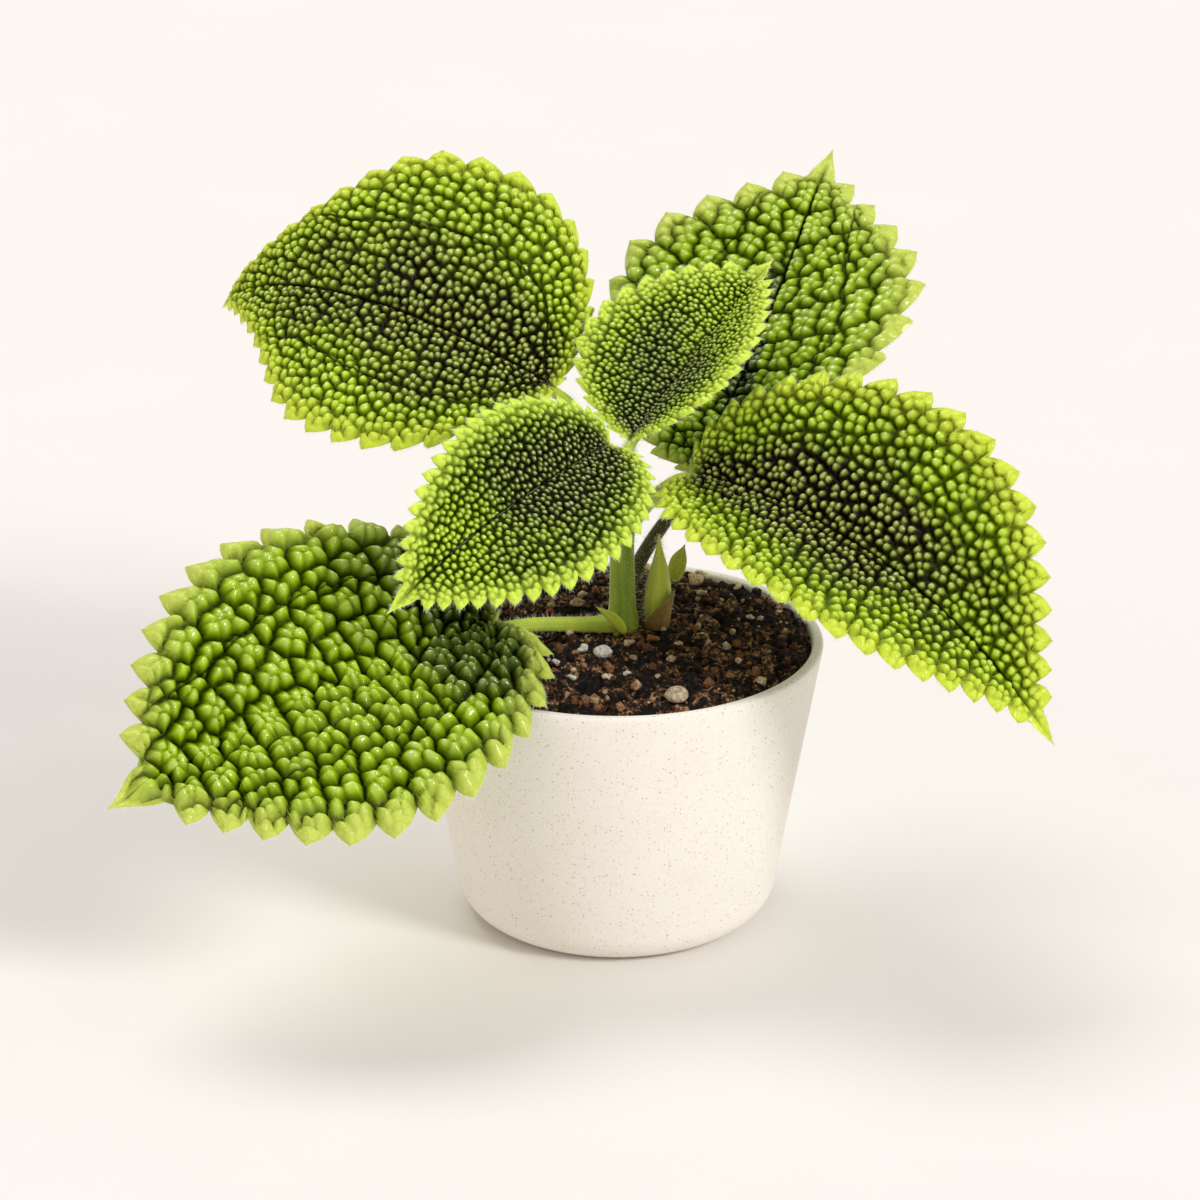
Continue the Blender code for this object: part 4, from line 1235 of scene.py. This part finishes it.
def makeStoneMaterial(name, stone):
    # mottled stone: three tones by noise, with pits
    material, tree, shader = newMaterial(name, {"Specular IOR Level": stone["shine"]})
    mottle = noiseNode(tree, stone["size"], 4.0, 0.65)
    colour = rampNode(tree, mottle, list(zip((0.34, 0.5, 0.62), stone["colours"])))
    feed(tree, shader, {"Base Color": colour, "Roughness": fade(tree, mottle, 0.3, 0.7, 0.9, 0.7)})
    bumpNode(tree, shader, mottle, stone["depth"])
    return material


stoneMaterials = {name: makeStoneMaterial(name, stone) for name, stone in stoneSpecs.items()}
stoneNames = {f"perlite_{i}": "tanGrit" for i in (6, 8, 9, 10, 11, 12, 13)}
stoneNames.update({"pebble": "sandPebble", "perlite_14": "barkGold", "perlite_15": "barkRed"})
for number, node in enumerate(gritNodes):
    material = stoneMaterials[stoneNames.get(node, "paleGrit")]
    name, level, knobs, roughness = f"grain{number}", 3, 26, 0.9
    if node == "pebble":
        name, level, knobs, roughness = "roundPebble", 4, 12, 0.25
    makeGrain(name, node, level, knobs, roughness, material, 70 + number)
print("grit made:", len(gritNodes))


# Hairs: how many to a millimetre of margin, how many on stalks, their lengths and thickness
hairSpec = dict(
    perMillimetre=4.5, marginLength=0.0008, stalkCount=4200, stalkLength=0.0011, thickness=0.00003,
    faceCount=260, faceLength=0.00045, scaleCount=60, seed=8)


def makeHairs(name, parts, material):
    # each hair a three-sided spike from its root to a point
    roots, ways, lengths = (np.concatenate(column) for column in zip(*parts))
    ways = unit(ways)
    first = unit(np.cross(ways, np.array([0.36, 0.48, 0.80])))
    second = np.cross(ways, first)
    thick = hairSpec["thickness"]
    angle = np.array([0, 2 * pi / 3, 4 * pi / 3])[None, :, None]
    feet = roots[:, None] + thick * (first[:, None] * np.cos(angle) + second[:, None] * np.sin(angle))
    tips = roots + ways * lengths[:, None]
    points = np.concatenate([feet, tips[:, None]], axis=1).reshape(-1, 3)
    corners = np.array([[0, 1, 3], [1, 2, 3], [2, 0, 3], [2, 1, 0]])
    faces = (corners[None] + 4 * np.arange(len(roots))[:, None, None]).reshape(-1, 3)
    return finishPiece(makeMesh(name, points, faces), material, "leaf")


def marginHairs(leaf, draws):
    # roots at random places along both margins, pointing out of the blade and a little forward
    roots, ways = [], []
    for outer, inner in ((0, 3), (-1, -4)):
        edge = leaf["top"][:, outer]
        out = unit(edge - leaf["top"][:, inner])
        walked = np.concatenate([[0], np.cumsum(np.linalg.norm(np.diff(edge, axis=0), axis=1))])
        count = int(walked[-1] * 1000 * hairSpec["perMillimetre"])
        at = draws.uniform(0, walked[-1], count)
        roots.append(np.stack([np.interp(at, walked, edge[:, i]) for i in range(3)], axis=1))
        ways.append(np.stack([np.interp(at, walked, out[:, i]) for i in range(3)], axis=1))
    roots, ways = np.concatenate(roots), np.concatenate(ways)
    ways = unit(ways) + draws.normal(0, 0.35, ways.shape)
    return roots, ways, hairSpec["marginLength"] * draws.uniform(0.5, 1.3, len(roots))


def faceHairs(leaf, draws):
    # sparse upright hairs near the blade's base and midrib
    nearBase = np.exp(-leaf["masks"]["midrib"] / 5) * np.linspace(1, 0, len(leaf["top"]))[:, None] ** 2
    nearBase = nearBase * (leaf["masks"]["edge"] > 1)
    pick = draws.choice(nearBase.size, hairSpec["faceCount"], p=(nearBase / nearBase.sum()).ravel())
    roots = leaf["top"].reshape(-1, 3)[pick]
    ways = leaf["normals"].reshape(-1, 3)[pick] + draws.normal(0, 0.3, (len(pick), 3))
    return roots, ways, hairSpec["faceLength"] * draws.uniform(0.5, 1.3, len(pick))


def stalkHairs(grid, count, draws):
    # roots at random points of a stalk's grid, pointing outward
    points, outward = grid
    rows = draws.integers(2, points.shape[0] - 2, count)
    columns = draws.integers(0, points.shape[1], count)
    roots = points[rows, columns]
    ways = outward[rows, columns] + draws.normal(0, 0.25, (count, 3))
    return roots, ways, hairSpec["stalkLength"] * draws.uniform(0.4, 1.3, count)


def makeHairMaterial():
    # clear white hairs, greener towards the blade by patches
    material, tree, shader = newMaterial("whiteHair", {"Roughness": 0.45})
    mottle = noiseNode(tree, 0.004, 2.0, 0.5)
    share = fade(tree, mottle, 0.35, 0.65)
    colour = mixColours(tree, share, fromDisplay(236, 240, 214), fromDisplay(248, 248, 240))
    feed(tree, shader, {"Base Color": colour})
    return material


hairDraws = np.random.default_rng(hairSpec["seed"])
hairMaterial = makeHairMaterial()
for name, leaf in leaves.items():
    parts = [marginHairs(leaf, hairDraws), faceHairs(leaf, hairDraws)]
    makeHairs(name.replace("leaf", "hairs"), parts, hairMaterial)
areas = np.array([len(grid[0]) for grid in stalks], dtype=float)
counts = (hairSpec["stalkCount"] * areas / areas.sum()).astype(int)
parts = [stalkHairs(grid, count, hairDraws) for grid, count in zip(stalks, counts)]
parts += [stalkHairs(grid, hairSpec["scaleCount"], hairDraws) for grid in scaleGrids]
makeHairs("hairs_stalks", parts, hairMaterial)
print("hairs made")


# Floor, light and camera
stageSpec = dict(
    floorSize=8.0, floorColour=(243, 239, 235), worldColour=(255, 253, 251), world=0.5,
    key=dict(energy=1.5, softness=16, heading=-38, height=34),
    top=dict(energy=1.11, softness=30, heading=125, height=64),
    fill=dict(energy=0.38, softness=70, heading=205, height=12),
    warm=(1.0, 0.62, 0.5),
    target=(-0.00327, 0.0, 0.0637), distance=1.0, elevation=22.1, lens=156.5)


def makeFloor():
    # a plain square of pale paint that takes the shadow
    half = stageSpec["floorSize"] / 2
    points = np.array([[-half, -half, 0], [half, -half, 0], [half, half, 0], [-half, half, 0]])
    floor = makeMesh("paleFloor", points, np.array([[0, 1, 2], [0, 2, 3]]))
    material, tree, shader = newMaterial("floorPaint", {"Roughness": 0.9, "Specular IOR Level": 0.1})
    mottle = noiseNode(tree, 0.08, 3.0, 0.5)
    paint = fromDisplay(*stageSpec["floorColour"])
    colour = scaled(tree, paint, fade(tree, mottle, 0.3, 0.7, 0.985, 1.0))
    feed(tree, shader, {"Base Color": colour})
    floor.data.materials.append(material)


def makeLights():
    # a soft key from the right, a softer lamp from above and behind, a weak warm one from the left,
    # and an even pale world
    for name in ("key", "top", "fill"):
        given = stageSpec[name]
        lamp = bpy.data.lights.new(name + "Lamp", "SUN")
        lamp.color = stageSpec["warm"] if name == "fill" else (1.0, 1.0, 1.0)
        lamp.energy = given["energy"]
        lamp.angle = radians(given["softness"])
        holder = bpy.data.objects.new(name + "Lamp", lamp)
        way = Vector(direction(given["heading"], given["height"]))
        holder.rotation_euler = way.to_track_quat("Z", "Y").to_euler()
        scene.collection.objects.link(holder)
    world = bpy.data.worlds.new("studio")
    world.use_nodes = True
    scene.world = world
    background = world.node_tree.nodes["Background"]
    background.inputs["Color"].default_value = fromDisplay(*stageSpec["worldColour"])
    background.inputs["Strength"].default_value = stageSpec["world"]


def makeCamera():
    # looks down at the target from the front
    lens = bpy.data.cameras.new("frontView")
    lens.lens = stageSpec["lens"]
    lens.sensor_width = 36
    lens.clip_start = 0.01
    lens.clip_end = 50
    view = bpy.data.objects.new("frontView", lens)
    back = Vector(direction(-90, stageSpec["elevation"]))
    view.location = Vector(stageSpec["target"]) + stageSpec["distance"] * back
    view.rotation_euler = back.to_track_quat("Z", "Y").to_euler()
    scene.collection.objects.link(view)
    scene.camera = view


makeFloor()
makeLights()
makeCamera()
scene.view_settings.view_transform = "Standard"
print("stage made")
